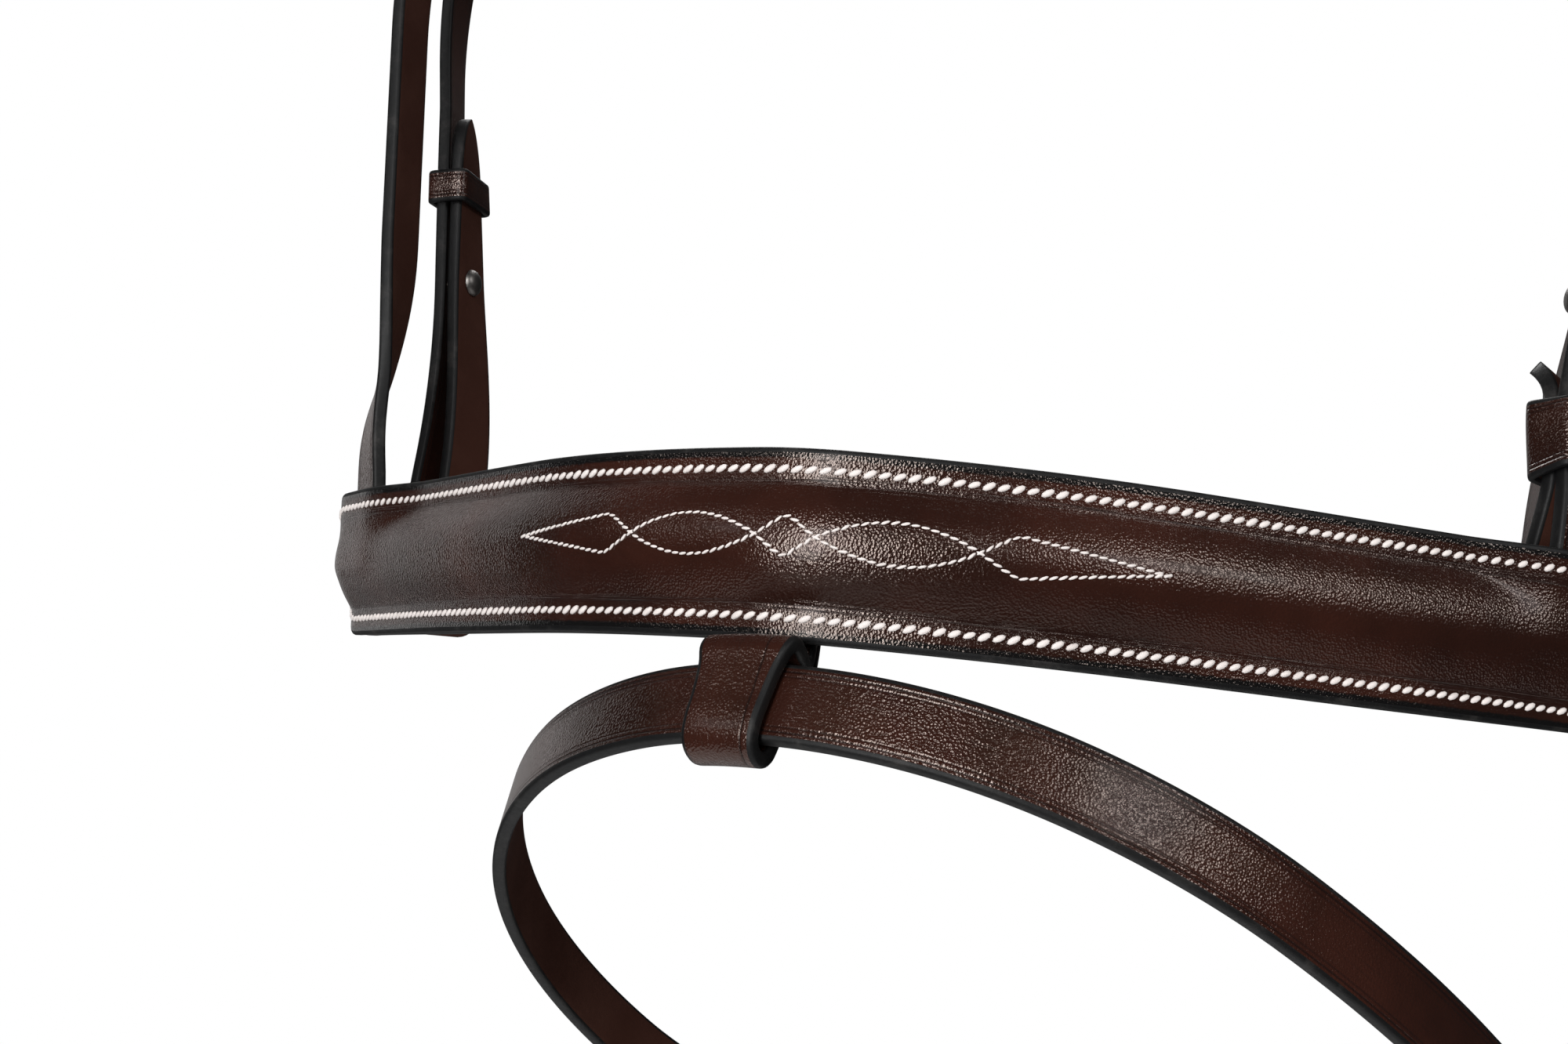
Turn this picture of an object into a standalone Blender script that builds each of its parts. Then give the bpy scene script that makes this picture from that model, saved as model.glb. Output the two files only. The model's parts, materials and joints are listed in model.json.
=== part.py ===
"""English bridle with a raised, stitched noseband and a flash strap, hung as on its bracket.

Metres, +Z up. The horse faces -Y, the near side is +X. The origin is the middle of the flat
underside of the crown pad, where the bridle rests on the poll.
"""
import math

import bmesh
import bpy
from mathutils import Matrix, Vector

mm = 0.001

# Fits shared by every piece
gap = 0.3 * mm
sag = 0.25 * mm

# Leather
strap_thick = 3.0 * mm
skived_thick = 2.2 * mm
keeper_thick = 1.6 * mm
edge_inset = 1.0 * mm
edge_share = 0.45
tip_length = 14.0 * mm
tip_shares = ((1.0, 1.0), (0.5, 0.86), (0.2, 0.6), (0.0, 0.24))

# Poll and sides of the head
pad_thick = 8.0 * mm
pad_reach = 75.0 * mm
pad_front = -22.0 * mm
pad_step_front = -1.0 * mm
pad_step_back = 1.5 * mm
pad_back = 50.0 * mm
pad_border = 4.0 * mm
poll_flat = 22.0 * mm
arch_radius = 108.0 * mm
upright_length = 107.0 * mm
bow_radius = 150.0 * mm
bow_out_turn = 9.0
bow_out_run = 20.0 * mm
bow_in_turn = 15.3
bow_in_run = 54.0 * mm
flare_radius = 210.0 * mm
flare_turn = 12.8
foot_radius = 100.0 * mm
foot_turn = 8.0
side_tail = 60.0 * mm

# Noseband
nose_height = 32.8 * mm
nose_z = -416.0 * mm
nose_front = -98.0 * mm
nose_shift = 4.0 * mm
nose_tip_radius = 35.0 * mm
nose_tip_arc = 8.6 * mm
nose_cheek_radius = 155.0 * mm
nose_cheek_arc = 61.4 * mm
nose_side_radius = 1030.0 * mm
nose_side_arc = 94.0 * mm
nose_corner_radius = 21.0 * mm
nose_corner_turn = 24.0
nose_jaw_run = 22.0 * mm
nose_jaw_radius = 40.0 * mm
nose_jaw_turn = 84.0
chin_radius = 60.0 * mm
chin_half_run = 42.0 * mm
chin_rise = 17.0 * mm
nose_lean = 5.0
lean_start_share = 0.6
lean_stop_share = 0.72
face_thick = 2.2 * mm
backing_thick = 2.8 * mm
crown_height = 3.9 * mm
crown_half = 9.3 * mm
crown_shares = ((1.0, 0.0), (0.76, 0.48), (0.42, 0.9), (0.0, 1.0))
face_half_length = 184.0 * mm
face_end_run = 16.0 * mm
taper_run = 20.0 * mm
chin_width = 20.0 * mm

# Hanger
hanger_width = 13.0 * mm
hanger_y = -8.0 * mm
hanger_low_y = -16.0 * mm
hanger_mid = 154.0 * mm
hanger_offset = 4.0 * mm
hanger_blend = 30.0 * mm
hanger_twist_run = 62.0 * mm
hanger_depth = 20.0 * mm
fold_depth = 19.4 * mm
fold_tail = 37.0 * mm
fold_curl = 5.0 * mm
hanger_keeper_low = 14.0 * mm
hanger_keeper_length = 15.0 * mm

# Headpiece
cheek_width = 14.0 * mm
throat_width = 14.0 * mm
cheek_y = 9.0 * mm
cheek_low_y = 21.0 * mm
throat_y = 34.0 * mm
throat_low_y = 50.0 * mm
crown_front = -12.0 * mm
drift_start = 36.0 * mm

# Browband
brow_height = 25.0 * mm
brow_z = -118.0 * mm
brow_front_radius = 600.0 * mm
brow_front_arc = 85.0 * mm
brow_corner_radius = 53.0 * mm
brow_thick = 2.4 * mm
brow_face_thick = 1.8 * mm
brow_crown_height = 2.6 * mm
brow_crown_half = 7.5 * mm
brow_slack = 1.0 * mm
brow_loop_lap = 12.0 * mm

# Cheekpieces
cheek_heel_z = -158.0 * mm
split_z = -94.0 * mm
tail_rows = 5
bit_loop_z = -421.0 * mm
bit_loop_radius = 6.5 * mm
bit_open_z = -340.0 * mm
bit_tip_z = -299.0 * mm
bit_stud_z = -341.0 * mm
bit_keeper_z = -318.0 * mm
bit_keeper_length = 8.0 * mm
stud_shank = 1.5 * mm
stud_head = 3.3 * mm
stud_head_height = 2.0 * mm
stud_rivet_height = 0.8 * mm
cheek_twist_top = 13.0
cheek_twist_low = -20.0
cheek_twist_top_z = -298.0 * mm
cheek_twist_low_z = -395.0 * mm

# Throatlash
throat_heel_z = -158.0 * mm
throat_upright = 62.0 * mm
throat_radius = 84.0 * mm

# Flash strap and its loop
flash_width = 14.0 * mm
flash_thick = 2.8 * mm
flash_front = Vector((-3.1 * mm, -7.0 * mm, -27.6 * mm))
flash_fall = 31.8
flash_roll = 5.8
flash_turn = -15.2
flash_lean = 8.6
flash_right_radii = (82.0 * mm, 115.0 * mm, 240.0 * mm)
flash_right_turns = (41.9, 19.9, 11.9)
flash_right_close = 60.0 * mm
flash_left_radii = (75.0 * mm, 98.0 * mm, 120.0 * mm)
flash_left_turns = (15.3, 23.4, 62.1)
flash_left_close = 55.0 * mm
loop_thick = 2.8 * mm
loop_seat_thick = 2.5 * mm
loop_top_half = 8.5 * mm
loop_low_half = 6.7 * mm
loop_at = -3.5 * mm
loop_room = 0.8 * mm
loop_drop = 1.2 * mm
loop_seat_top = -2.4 * mm
loop_seat_low = 0.3 * mm

# Buckles
wire = 1.4 * mm
tongue_wire = 0.95 * mm
buckle_reach = 16.0 * mm
buckle_corner = 2.4 * mm
buckle_room = 1.0 * mm
tongue_over = 1.2 * mm
chape_length = 26.0 * mm
chape_run = 9.0 * mm
billet_tail = 60.0 * mm
fixed_keeper_at = 14.0 * mm
fixed_keeper_length = 7.0 * mm
running_keeper_at = 37.0 * mm
running_keeper_length = 8.0 * mm
slot_reach = 7.0 * mm
slot_near = 0.2 * mm
slot_margin = 4.0 * mm
hole_radius = 1.6 * mm
hole_pitch = 7.0 * mm
hole_count = 2
keeper_room = 0.4 * mm
keeper_step = 4.0 * mm


def clear_scene():
    for thing in list(bpy.data.objects):
        bpy.data.objects.remove(thing, do_unlink=True)


def smooth(x):
    x = min(max(x, 0.0), 1.0)
    return x * x * (3.0 - 2.0 * x)


def finish(name, color, roughness, metallic=0.0):
    made = bpy.data.materials.new(name)
    made.use_nodes = True
    shader = made.node_tree.nodes["Principled BSDF"]
    shader.inputs["Base Color"].default_value = (*color, 1.0)
    shader.inputs["Roughness"].default_value = roughness
    shader.inputs["Metallic"].default_value = metallic
    return made


def leather_of(name):
    return finish(name, (0.075, 0.022, 0.015), 0.38)


def lining_of(name):
    return finish(name, (0.05, 0.03, 0.024), 0.6)


def metal_of(name):
    return finish(name, (0.6, 0.6, 0.58), 0.25, 1.0)


def add_object(name, shape, material):
    """Puts a finished bmesh in the scene as one named object."""
    bmesh.ops.recalc_face_normals(shape, faces=shape.faces)
    mesh = bpy.data.meshes.new(name)
    shape.to_mesh(mesh)
    shape.free()
    mesh.materials.append(material)
    thing = bpy.data.objects.new(name, mesh)
    bpy.context.scene.collection.objects.link(thing)
    return thing


def set_origin(thing, pivot):
    """Moves an object's origin to its joint's axis."""
    thing.data.transform(Matrix.Translation(-pivot))
    thing.location = pivot
    return thing


class Run:
    """A line in a plane, made of straights and arcs: (length, None) or (radius, degrees)."""

    def __init__(self, start, heading, pieces):
        self.parts = []
        place, angle, s = Vector(start), heading, 0.0
        for size, turn in pieces:
            length = size if turn is None else size * abs(math.radians(turn))
            bend = 0.0 if turn is None else math.copysign(1.0 / size, turn)
            self.parts.append((s, length, bend, place.copy(), angle))
            place, angle = self.step(place, angle, bend, length)
            s += length
        self.length, self.end, self.end_heading = s, place, angle

    @staticmethod
    def step(place, angle, bend, length):
        if bend == 0.0:
            ahead = Vector((math.cos(angle), math.sin(angle)))
            return place + ahead * length, angle
        after = angle + bend * length
        move = Vector((math.sin(after) - math.sin(angle), math.cos(angle) - math.cos(after)))
        return place + move / bend, after

    def at(self, s):
        """Place and heading at a distance along the line, straight on past its ends."""
        start, length, bend, place, angle = self.parts[0]
        if s < 0.0:
            return self.step(place, angle, 0.0, s)
        for start, length, bend, place, angle in self.parts:
            if s <= start + length:
                return self.step(place, angle, bend, s - start)
        return self.step(self.end, self.end_heading, 0.0, s - self.length)

    def stops(self):
        """Distances at which a strap needs a cross-section, so that no chord strays from its arc."""
        found = [0.0]
        for start, length, bend, place, angle in self.parts:
            count = 1
            if bend:
                radius = abs(1.0 / bend)
                count = math.ceil(abs(bend) * length / (2.0 * math.acos(1.0 - sag / radius)))
            found += [start + length * (k + 1) / count for k in range(count)]
        return found


class Line:
    """A strap's route in space: its middle, the direction across the strap, and its stops."""

    def __init__(self, middle, across, stops, lift=0.0):
        self.middle, self.across, self.base_stops, self.lift = middle, across, sorted(stops), lift

    def frame(self, s, n=0.0):
        """Point, and directions along, across and out of the strap."""
        small = sag
        along = (self.middle(s + small) - self.middle(s - small)).normalized()
        wide = self.across(s)
        wide = (wide - along * wide.dot(along)).normalized()
        out = along.cross(wide)
        return self.middle(s) + out * (self.lift + n), along, wide, out

    def lifted(self, n):
        return Line(self.middle, self.across, self.base_stops, self.lift + n)

    def between(self, s0, s1, extra=()):
        """The stops from s0 to s1, both included, with any extra ones."""
        low, high = min(s0, s1), max(s0, s1)
        inner = [s for s in list(self.base_stops) + list(extra) if low + sag < s < high - sag]
        ordered = [low] + sorted(inner) + [high]
        kept = [ordered[0]]
        for s in ordered[1:]:
            if s - kept[-1] > sag:
                kept.append(s)
        return kept if s0 < s1 else kept[::-1]


def outward(net, i, j, first, last):
    """Direction out of a net's surface at one point, longer where the net bends."""
    here = net[i][j]
    back = (here - net[max(i - 1, 0)][j]).normalized()
    ahead = (net[min(i + 1, len(net) - 1)][j] - here).normalized()
    wide = net[i][min(j + 1, last)] - net[i][max(j - 1, first)]
    spread = 1.0
    if 0 < i < len(net) - 1:
        spread = 1.0 / max(math.sqrt((1.0 + back.dot(ahead)) / 2.0), 0.7)
    return (back + ahead).cross(wide).normalized() * spread


def leather_sheet(name, net, thick, material, holds=None, plain_edges=False, group=None):
    """A closed sheet of leather on a net of mid-points, thinner at its two long edges.

    thick is a function of the row and column; holds says which cells are there;
    group is the number of columns that belong to one strap."""
    rows, cols = len(net), len(net[0])
    shape = bmesh.new()
    tops, unders = [], []
    for i in range(rows):
        top_row, under_row = [], []
        for j in range(cols):
            first = j // group * group if group else 0
            last = first + group - 1 if group else cols - 1
            half = outward(net, i, j, first, last) * thick(i, j) / 2.0
            if not plain_edges and j in (0, cols - 1):
                half *= edge_share
            top_row.append(shape.verts.new(net[i][j] + half))
            under_row.append(shape.verts.new(net[i][j] - half))
        tops.append(top_row)
        unders.append(under_row)
    cells = {(i, j) for i in range(rows - 1) for j in range(cols - 1)
             if holds is None or holds(i, j)}
    sides = ((0, -1, (0, 0), (1, 0)), (0, 1, (1, 1), (0, 1)),
             (-1, 0, (0, 1), (0, 0)), (1, 0, (1, 0), (1, 1)))
    for i, j in cells:
        corners = ((i, j), (i + 1, j), (i + 1, j + 1), (i, j + 1))
        shape.faces.new([tops[a][b] for a, b in corners])
        shape.faces.new([unders[a][b] for a, b in reversed(corners)])
        for di, dj, p, q in sides:
            if (i + di, j + dj) not in cells:
                a, b = (i + p[0], j + p[1]), (i + q[0], j + q[1])
                shape.faces.new((tops[b[0]][b[1]], tops[a[0]][a[1]],
                                 unders[a[0]][a[1]], unders[b[0]][b[1]]))
    return add_object(name, shape, material)


def loft(name, sections, material):
    """A closed solid through a list of sections with the same number of points."""
    shape = bmesh.new()
    rings = [[shape.verts.new(spot) for spot in section] for section in sections]
    count = len(rings[0])
    for low, high in zip(rings, rings[1:]):
        for k in range(count):
            after = (k + 1) % count
            shape.faces.new((low[k], low[after], high[after], high[k]))
    shape.faces.new(rings[0][::-1])
    shape.faces.new(rings[-1])
    return add_object(name, shape, material)


def add_strap(name, line, run, half_at, thick, material):
    """A strap with its grain side's edges bevelled; run is a list of (s, n)."""
    net = strap_net(line, run, lambda i: plain_columns(half_at(i)))
    sections = []
    for i, row in enumerate(net):
        last = len(row) - 1
        halves = [outward(net, i, j, 0, last) * thick(i) / 2.0 for j in range(last + 1)]
        shares = [edge_share] + [1.0] * (last - 1) + [edge_share]
        top = [spot + out * share for spot, out, share in zip(row, halves, shares)]
        sections.append(top + [row[last] - halves[last], row[0] - halves[0]])
    return loft(name, sections, material)


def strap_net(line, run, columns):
    """Mid-points of a strap: run is a list of (s, n), columns gives each row's places across."""
    centres = [line.frame(s, n)[0] for s, n in run]
    net = []
    for i, (s, n) in enumerate(run):
        back = centres[i] - centres[max(i - 1, 0)]
        ahead = centres[min(i + 1, len(run) - 1)] - centres[i]
        along = (back.normalized() + ahead.normalized()).normalized()
        wide = line.frame(s)[2]
        wide = (wide - along * wide.dot(along)).normalized()
        net.append([centres[i] + wide * w for w in columns(i)])
    return net


def plain_columns(half, middle=False):
    """Places across a strap: its two edges and the shoulders beside them."""
    inset = min(edge_inset, half * edge_share)
    inner = [0.0] if middle else []
    return [-half, inset - half] + inner + [half - inset, half]


def tip_half(half, left):
    """Half width of a pointed strap at a distance from its tip."""
    share = left / tip_length
    for (far, wide), (near, slim) in zip(tip_shares, tip_shares[1:]):
        if share >= near:
            mix = min(max((share - near) / (far - near), 0.0), 1.0)
            return half * (slim + (wide - slim) * mix)
    return half * tip_shares[-1][1]


def tip_stops():
    return [tip_length * far for far, wide in tip_shares[:-1]]


def punch(thing, label, cuts):
    """Cuts prisms out of a piece with one hidden cutter.

    Each cut is (centre, directions across and through, outline in two directions, low, high)."""
    shape = bmesh.new()
    for centre, first, second, through, outline, low, high in cuts:
        rings = []
        for height in (low, high):
            rings.append([shape.verts.new(centre + first * x + second * y + through * height)
                          for x, y in outline])
        count = len(outline)
        shape.faces.new(rings[0][::-1])
        shape.faces.new(rings[1])
        for k in range(count):
            after = (k + 1) % count
            shape.faces.new((rings[0][k], rings[0][after], rings[1][after], rings[1][k]))
    cutter = add_object(thing.name + "_" + label, shape, thing.data.materials[0])
    cutter.hide_render = True
    cutter.display_type = "WIRE"
    cut = thing.modifiers.new(label, "BOOLEAN")
    cut.operation = "DIFFERENCE"
    cut.solver = "EXACT"
    cut.object = cutter


def oval(radius, length=0.0, sides=8):
    """Outline of a round hole, or of a slot with round ends when it has a length."""
    spots = []
    for k in range(sides):
        angle = math.tau * (k + 0.5) / sides
        x = radius * math.cos(angle)
        spots.append((x + math.copysign(length / 2.0, x), radius * math.sin(angle)))
    return spots


def sweep_rod(name, points, normals, radius, material, closed=False, sides=6):
    """A rod of even thickness along points; normals fix how its facets lie."""
    shape = bmesh.new()
    count = len(points)
    rings = []
    for i in range(count):
        if closed:
            back, ahead = points[i] - points[i - 1], points[(i + 1) % count] - points[i]
        else:
            back = points[i] - points[max(i - 1, 0)]
            ahead = points[min(i + 1, count - 1)] - points[i]
        along = (back.normalized() + ahead.normalized()).normalized()
        out = (normals[i] - along * normals[i].dot(along)).normalized()
        wide = along.cross(out)
        ring = []
        for k in range(sides):
            angle = math.tau * (k + 0.5) / sides
            ring.append(shape.verts.new(points[i] + (out * math.sin(angle)
                                                     + wide * math.cos(angle)) * radius))
        rings.append(ring)
    pairs = list(zip(rings, rings[1:])) + ([(rings[-1], rings[0])] if closed else [])
    for low, high in pairs:
        for k in range(sides):
            after = (k + 1) % sides
            shape.faces.new((low[k], low[after], high[after], high[k]))
    if not closed:
        shape.faces.new(rings[0][::-1])
        shape.faces.new(rings[-1])
    return add_object(name, shape, material)


def keeper(name, line, s_mid, length, half, n_low, n_high, material):
    """A leather loop round a stack of straps, from n_low to n_high through their thickness."""
    shape = bmesh.new()
    stations = max(2, round(length / keeper_step))
    rings = []
    for k in range(stations):
        s = s_mid + length * (k / (stations - 1) - 0.5)
        place, along, wide, out = line.frame(s)
        inner = keeper_ring(place, wide, out, half + keeper_room, n_low - gap, n_high + gap, 0.0)
        outer = keeper_ring(place, wide, out, half + keeper_room, n_low - gap, n_high + gap,
                            keeper_thick)
        rings.append(([shape.verts.new(p) for p in inner], [shape.verts.new(p) for p in outer]))
    count = len(rings[0][0])
    for k in range(count):
        after = (k + 1) % count
        for (inner0, outer0), (inner1, outer1) in zip(rings, rings[1:]):
            shape.faces.new((outer0[k], outer0[after], outer1[after], outer1[k]))
            shape.faces.new((inner0[after], inner0[k], inner1[k], inner1[after]))
        for (inner, outer), flip in ((rings[0], False), (rings[-1], True)):
            ends = (inner[k], inner[after], outer[after], outer[k])
            shape.faces.new(ends[::-1] if flip else ends)
    return add_object(name, shape, material)


def keeper_ring(place, wide, out, half, low, high, grow):
    """Corner points of a keeper's section; the outside has its corners rounded off."""
    if grow == 0.0:
        spots = [(-half, low), (half, low), (half, high), (-half, high)]
        doubled = [spot for spot in spots for side in (0, 1)]
        nudge = edge_inset * edge_share
        shifts = ((0, 1), (1, 0), (-1, 0), (0, 1), (0, -1), (-1, 0), (1, 0), (0, -1))
        spots = [(w + a * nudge, n + b * nudge) for (w, n), (a, b) in zip(doubled, shifts)]
    else:
        w, lo, hi, r = half + grow, low - grow, high + grow, grow
        spots = [(-w, lo + r), (r - w, lo), (w - r, lo), (w, lo + r),
                 (w, hi - r), (w - r, hi), (r - w, hi), (-w, hi - r)]
    return [place + wide * w + out * n for w, n in spots]


class Buckle:
    """Where a buckle sits on a strap line. The front bar lies at s = heel + side * reach."""

    def __init__(self, line, heel, side, half, thick=strap_thick):
        self.line, self.heel, self.side, self.half, self.thick = line, heel, side, half, thick
        self.chape_middle = wire + gap + skived_thick / 2.0
        self.leaf = gap / 2.0 + thick / 2.0
        self.inner_leaf = gap / 2.0 + skived_thick / 2.0
        self.front_rise = wire + gap + thick / 2.0
        self.over_bar = wire + gap + skived_thick + gap + thick / 2.0
        self.over_body = gap / 2.0 + thick + gap + thick / 2.0
        self.slot = tongue_wire + keeper_room + gap
        self.slot_far = buckle_reach - slot_margin

    def spot(self, t, w, n):
        place, along, wide, out = self.line.frame(self.heel)
        return place + along * self.side * t + wide * w + out * n

    def chape_run(self):
        """(s, n, thickness) from the end of the short inner leaf, round the bar, to the body."""
        steps = (1.0, 0.66, 0.33, 0.0)
        short = chape_length - chape_run
        points = [(-chape_length + short * k / 3.0, -self.inner_leaf, skived_thick)
                  for k in range(3)]
        for share in steps:
            n = self.inner_leaf + (self.chape_middle - self.inner_leaf) * smooth(1.0 - share)
            points.append((-chape_run * share, -n, skived_thick))
        for angle in (-60.0, -30.0, 0.0, 30.0, 60.0):
            a = math.radians(angle)
            points.append((self.chape_middle * math.cos(a), self.chape_middle * math.sin(a),
                           skived_thick))
        for share in reversed(steps):
            n = self.leaf + (self.chape_middle - self.leaf) * smooth(1.0 - share)
            thick = self.thick + (skived_thick - self.thick) * smooth(1.0 - share)
            points.append((-chape_run * share, n, thick))
        return [(self.heel + self.side * t, n, thick) for t, n, thick in points]

    def billet_run(self):
        """(s, n) from just past the front bar, through the frame, to the strap's tip."""
        foot = buckle_reach - 2.0 * wire * edge_share - gap
        crest = wire * 0.7
        slope = self.over_bar / (foot - crest)
        far = self.slot_far
        points = [(buckle_reach + chape_run, 0.0), (foot, 0.0), (far, (foot - far) * slope),
                  (crest, self.over_bar), (-wire, self.over_bar), (-chape_run, self.over_body)]
        flat = billet_tail - tip_length - chape_run
        points += [(-chape_run - flat * (k + 1) / 4.0, self.over_body) for k in range(3)]
        points += [(-billet_tail + left, self.over_body) for left in tip_stops()]
        points.append((-billet_tail, self.over_body))
        return [(self.heel + self.side * t, n) for t, n in points]

    def body(self, s):
        """How far out the strap itself lies near its chape: on the short leaf, then level."""
        far = abs(s - self.heel) - billet_tail - chape_run
        return self.leaf * (1.0 - smooth(far / (2.0 * chape_run)))

    def body_stops(self):
        """Where the strap bends back to its level."""
        first = billet_tail + chape_run
        return [self.heel - self.side * (first + 2.0 * chape_run * k / 4.0) for k in range(5)]

    def place_cut(self, t, n, outline, depth):
        """A cut through the strap, centred at t along it and n out from it."""
        place, along, wide, out = self.line.frame(self.heel + self.side * t)
        return place + out * n, along, wide, out, outline, -depth, depth

    def chape_slot(self):
        """The oval slot in the chape's fold, where the tongue goes round the heel bar."""
        depth = self.over_bar - self.thick / 2.0 - gap / 2.0
        return self.place_cut(0.0, 0.0, oval(self.slot, slot_reach), depth)

    def billet_slot(self):
        """The hole that the tongue goes through, drawn long by use."""
        mid, length = (slot_near + self.slot_far) / 2.0, self.slot_far - slot_near
        return self.place_cut(mid, self.over_bar / 2.0, oval(self.slot, length - 2.0 * self.slot),
                              self.over_bar)

    def add_frame(self, name):
        """The wire frame: heel bar, two sides and a raised front bar."""
        a = self.half + buckle_room + wire
        r = buckle_corner
        corners = ((0.0, -a, 270.0), (0.0, a, 180.0), (buckle_reach, a, 90.0),
                   (buckle_reach, -a, 0.0))
        points = []
        for t, w, start in corners:
            ct, cw = t + math.copysign(r, -t + wire), w - math.copysign(r, w)
            for k in range(3):
                angle = math.radians(start - 45.0 * k)
                points.append((ct + r * math.cos(angle), cw + r * math.sin(angle)))
        spots = [self.spot(t, w, self.front_rise * smooth(t / buckle_reach)) for t, w in points]
        out = self.line.frame(self.heel)[3]
        return sweep_rod(name, spots, [out] * len(spots), wire, metal_of(name), True)

    def add_tongue(self, name):
        """The tongue: an open eye round the heel bar and a shank that lies on the front bar."""
        eye = wire + gap + tongue_wire
        tip_n = self.front_rise + wire + gap + tongue_wire
        rise = math.atan2(tip_n, buckle_reach) - math.asin(eye / math.hypot(buckle_reach, tip_n))
        start, finish_angle = math.radians(-50.0), math.radians(-270.0) + rise
        count = 8
        points = []
        for k in range(count):
            angle = start + (finish_angle - start) * k / (count - 1)
            points.append((eye * math.cos(angle), eye * math.sin(angle)))
        reach = buckle_reach + wire + tongue_over
        points.append((reach, points[-1][1] + (reach - points[-1][0]) * math.tan(rise)))
        spots = [self.spot(t, 0.0, n) for t, n in points]
        wide = self.line.frame(self.heel)[2]
        made = sweep_rod(name, spots, [wide] * len(spots), tongue_wire, metal_of(name))
        return set_origin(made, self.spot(0.0, 0.0, 0.0))

    def add_keepers(self, prefix):
        top = self.over_body + self.thick / 2.0
        low = -gap / 2.0 - skived_thick
        fixed = keeper(prefix + "_fixed_keeper", self.line,
                       self.heel - self.side * fixed_keeper_at, fixed_keeper_length,
                       self.half, low, top, leather_of(prefix + "_fixed_keeper"))
        at = self.heel - self.side * running_keeper_at
        running = keeper(prefix + "_running_keeper", self.line, at, running_keeper_length,
                         self.half, gap / 2.0, top, leather_of(prefix + "_running_keeper"))
        set_origin(running, self.line.frame(at)[0])
        return fixed, running

    def holes(self):
        """The tongue's hole and the punched holes past the running keeper."""
        first = running_keeper_at + running_keeper_length
        cuts = [self.billet_slot()]
        for k in range(hole_count):
            cuts.append(self.place_cut(-first - hole_pitch * k, self.over_body,
                                       oval(hole_radius), self.thick))
        return cuts


def nose_plan():
    """Half of the noseband's plan, from its front to the middle of the chin."""
    pieces = [(nose_tip_radius, math.degrees(nose_tip_arc / nose_tip_radius)),
              (nose_cheek_radius, math.degrees(nose_cheek_arc / nose_cheek_radius)),
              (nose_side_radius, math.degrees(nose_side_arc / nose_side_radius)),
              (nose_corner_radius, nose_corner_turn), (nose_jaw_run, None),
              (nose_jaw_radius, nose_jaw_turn)]
    front = Run((0.0, 0.0), 0.0, pieces)
    left = math.pi - front.end_heading
    across = front.end.x - chin_half_run - chin_radius * math.sin(left)
    pieces += [(across / math.cos(left), None), (chin_radius, math.degrees(left)),
               (chin_half_run, None)]
    return Run((0.0, 0.0), 0.0, pieces)


plan = nose_plan()
nose_length = 2.0 * plan.length
nose_corner_start = nose_tip_arc + nose_cheek_arc + nose_side_arc


def nose_signed(q):
    return (q + plan.length) % nose_length - plan.length


def nose_middle(q):
    s = nose_signed(q)
    spot, heading = plan.at(abs(s))
    run = plan.length - chin_half_run - nose_corner_start
    rise = chin_rise * smooth((abs(s) - nose_corner_start) / run)
    return Vector((nose_shift + math.copysign(spot.x, s), nose_front + spot.y, nose_z + rise))


def nose_across(q):
    s = nose_signed(q)
    spot, heading = plan.at(abs(s))
    mid = nose_corner_start * lean_start_share
    lean = smooth((abs(s) - mid) / (nose_corner_start - mid))
    lean *= 1.0 - smooth((abs(s) - nose_corner_start) / (nose_corner_radius * 2.0))
    angle = math.radians(nose_lean) * lean
    out = Vector((math.copysign(math.sin(heading), s), -math.cos(heading), 0.0))
    return out * math.sin(angle) + Vector((0.0, 0.0, math.cos(angle)))


def nose_stops():
    half = sorted(plan.stops() + [nose_corner_start * lean_stop_share])
    return [s for s in half] + [-s for s in half[1:]] + [nose_length - s for s in half] + \
        [nose_length + s for s in half]


nose_line = Line(nose_middle, nose_across, nose_stops())
backing_middle = -face_thick - gap - backing_thick / 2.0
backing_line = nose_line.lifted(backing_middle)
padding_top_gap = face_thick + 2.0 * gap


def side_run():
    """One side of the bridle seen from the front: over the poll, down the cheek, out at the nose."""
    pieces = [(poll_flat, None), (arch_radius, -90.0), (upright_length, None),
              (bow_radius, bow_out_turn), (bow_out_run, None), (bow_radius, -bow_in_turn),
              (bow_in_run, None), (flare_radius, flare_turn), (foot_radius, -foot_turn),
              (side_tail, None)]
    return Run((0.0, pad_thick + gap + strap_thick / 2.0), 0.0, pieces)


side = side_run()


def side_at_z(z):
    """Distance along the side at a height, found by halving."""
    low, high = poll_flat, side.length
    for step in range(50):
        mid = (low + high) / 2.0
        if side.at(mid)[0].y > z:
            low = mid
        else:
            high = mid
    return (low + high) / 2.0


side_drift = side_at_z(brow_z - drift_start)
side_nose = side_at_z(nose_z + nose_height / 2.0)
head_lift = strap_thick + gap


def side_point(s, y_top, y_low):
    spot, heading = side.at(abs(s))
    share = (abs(s) - side_drift) / (side_nose - side_drift)
    y = y_top + (y_low - y_top) * max(share, 0.0)
    return Vector((math.copysign(spot.x, s), y, spot.y))


def both_sides(stops):
    return [-s for s in stops] + list(stops)


def hanger_seam(s):
    """Where the hanger is sewn into the noseband on this side, as a place round the noseband."""
    return hanger_mid - hanger_offset if s > 0 else -hanger_mid - hanger_offset


def hanger_middle(s):
    free = side_point(s, hanger_y, hanger_low_y)
    if abs(s) < side_nose - hanger_blend:
        return free
    place, along, wide, out = nose_line.frame(hanger_seam(s))
    level = nose_height / 2.0 + side_nose - abs(s)
    sewn = place + out * (strap_thick / 2.0 - face_thick) + wide * level
    return free.lerp(sewn, smooth((abs(s) - side_nose + hanger_blend) / hanger_blend))


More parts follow.
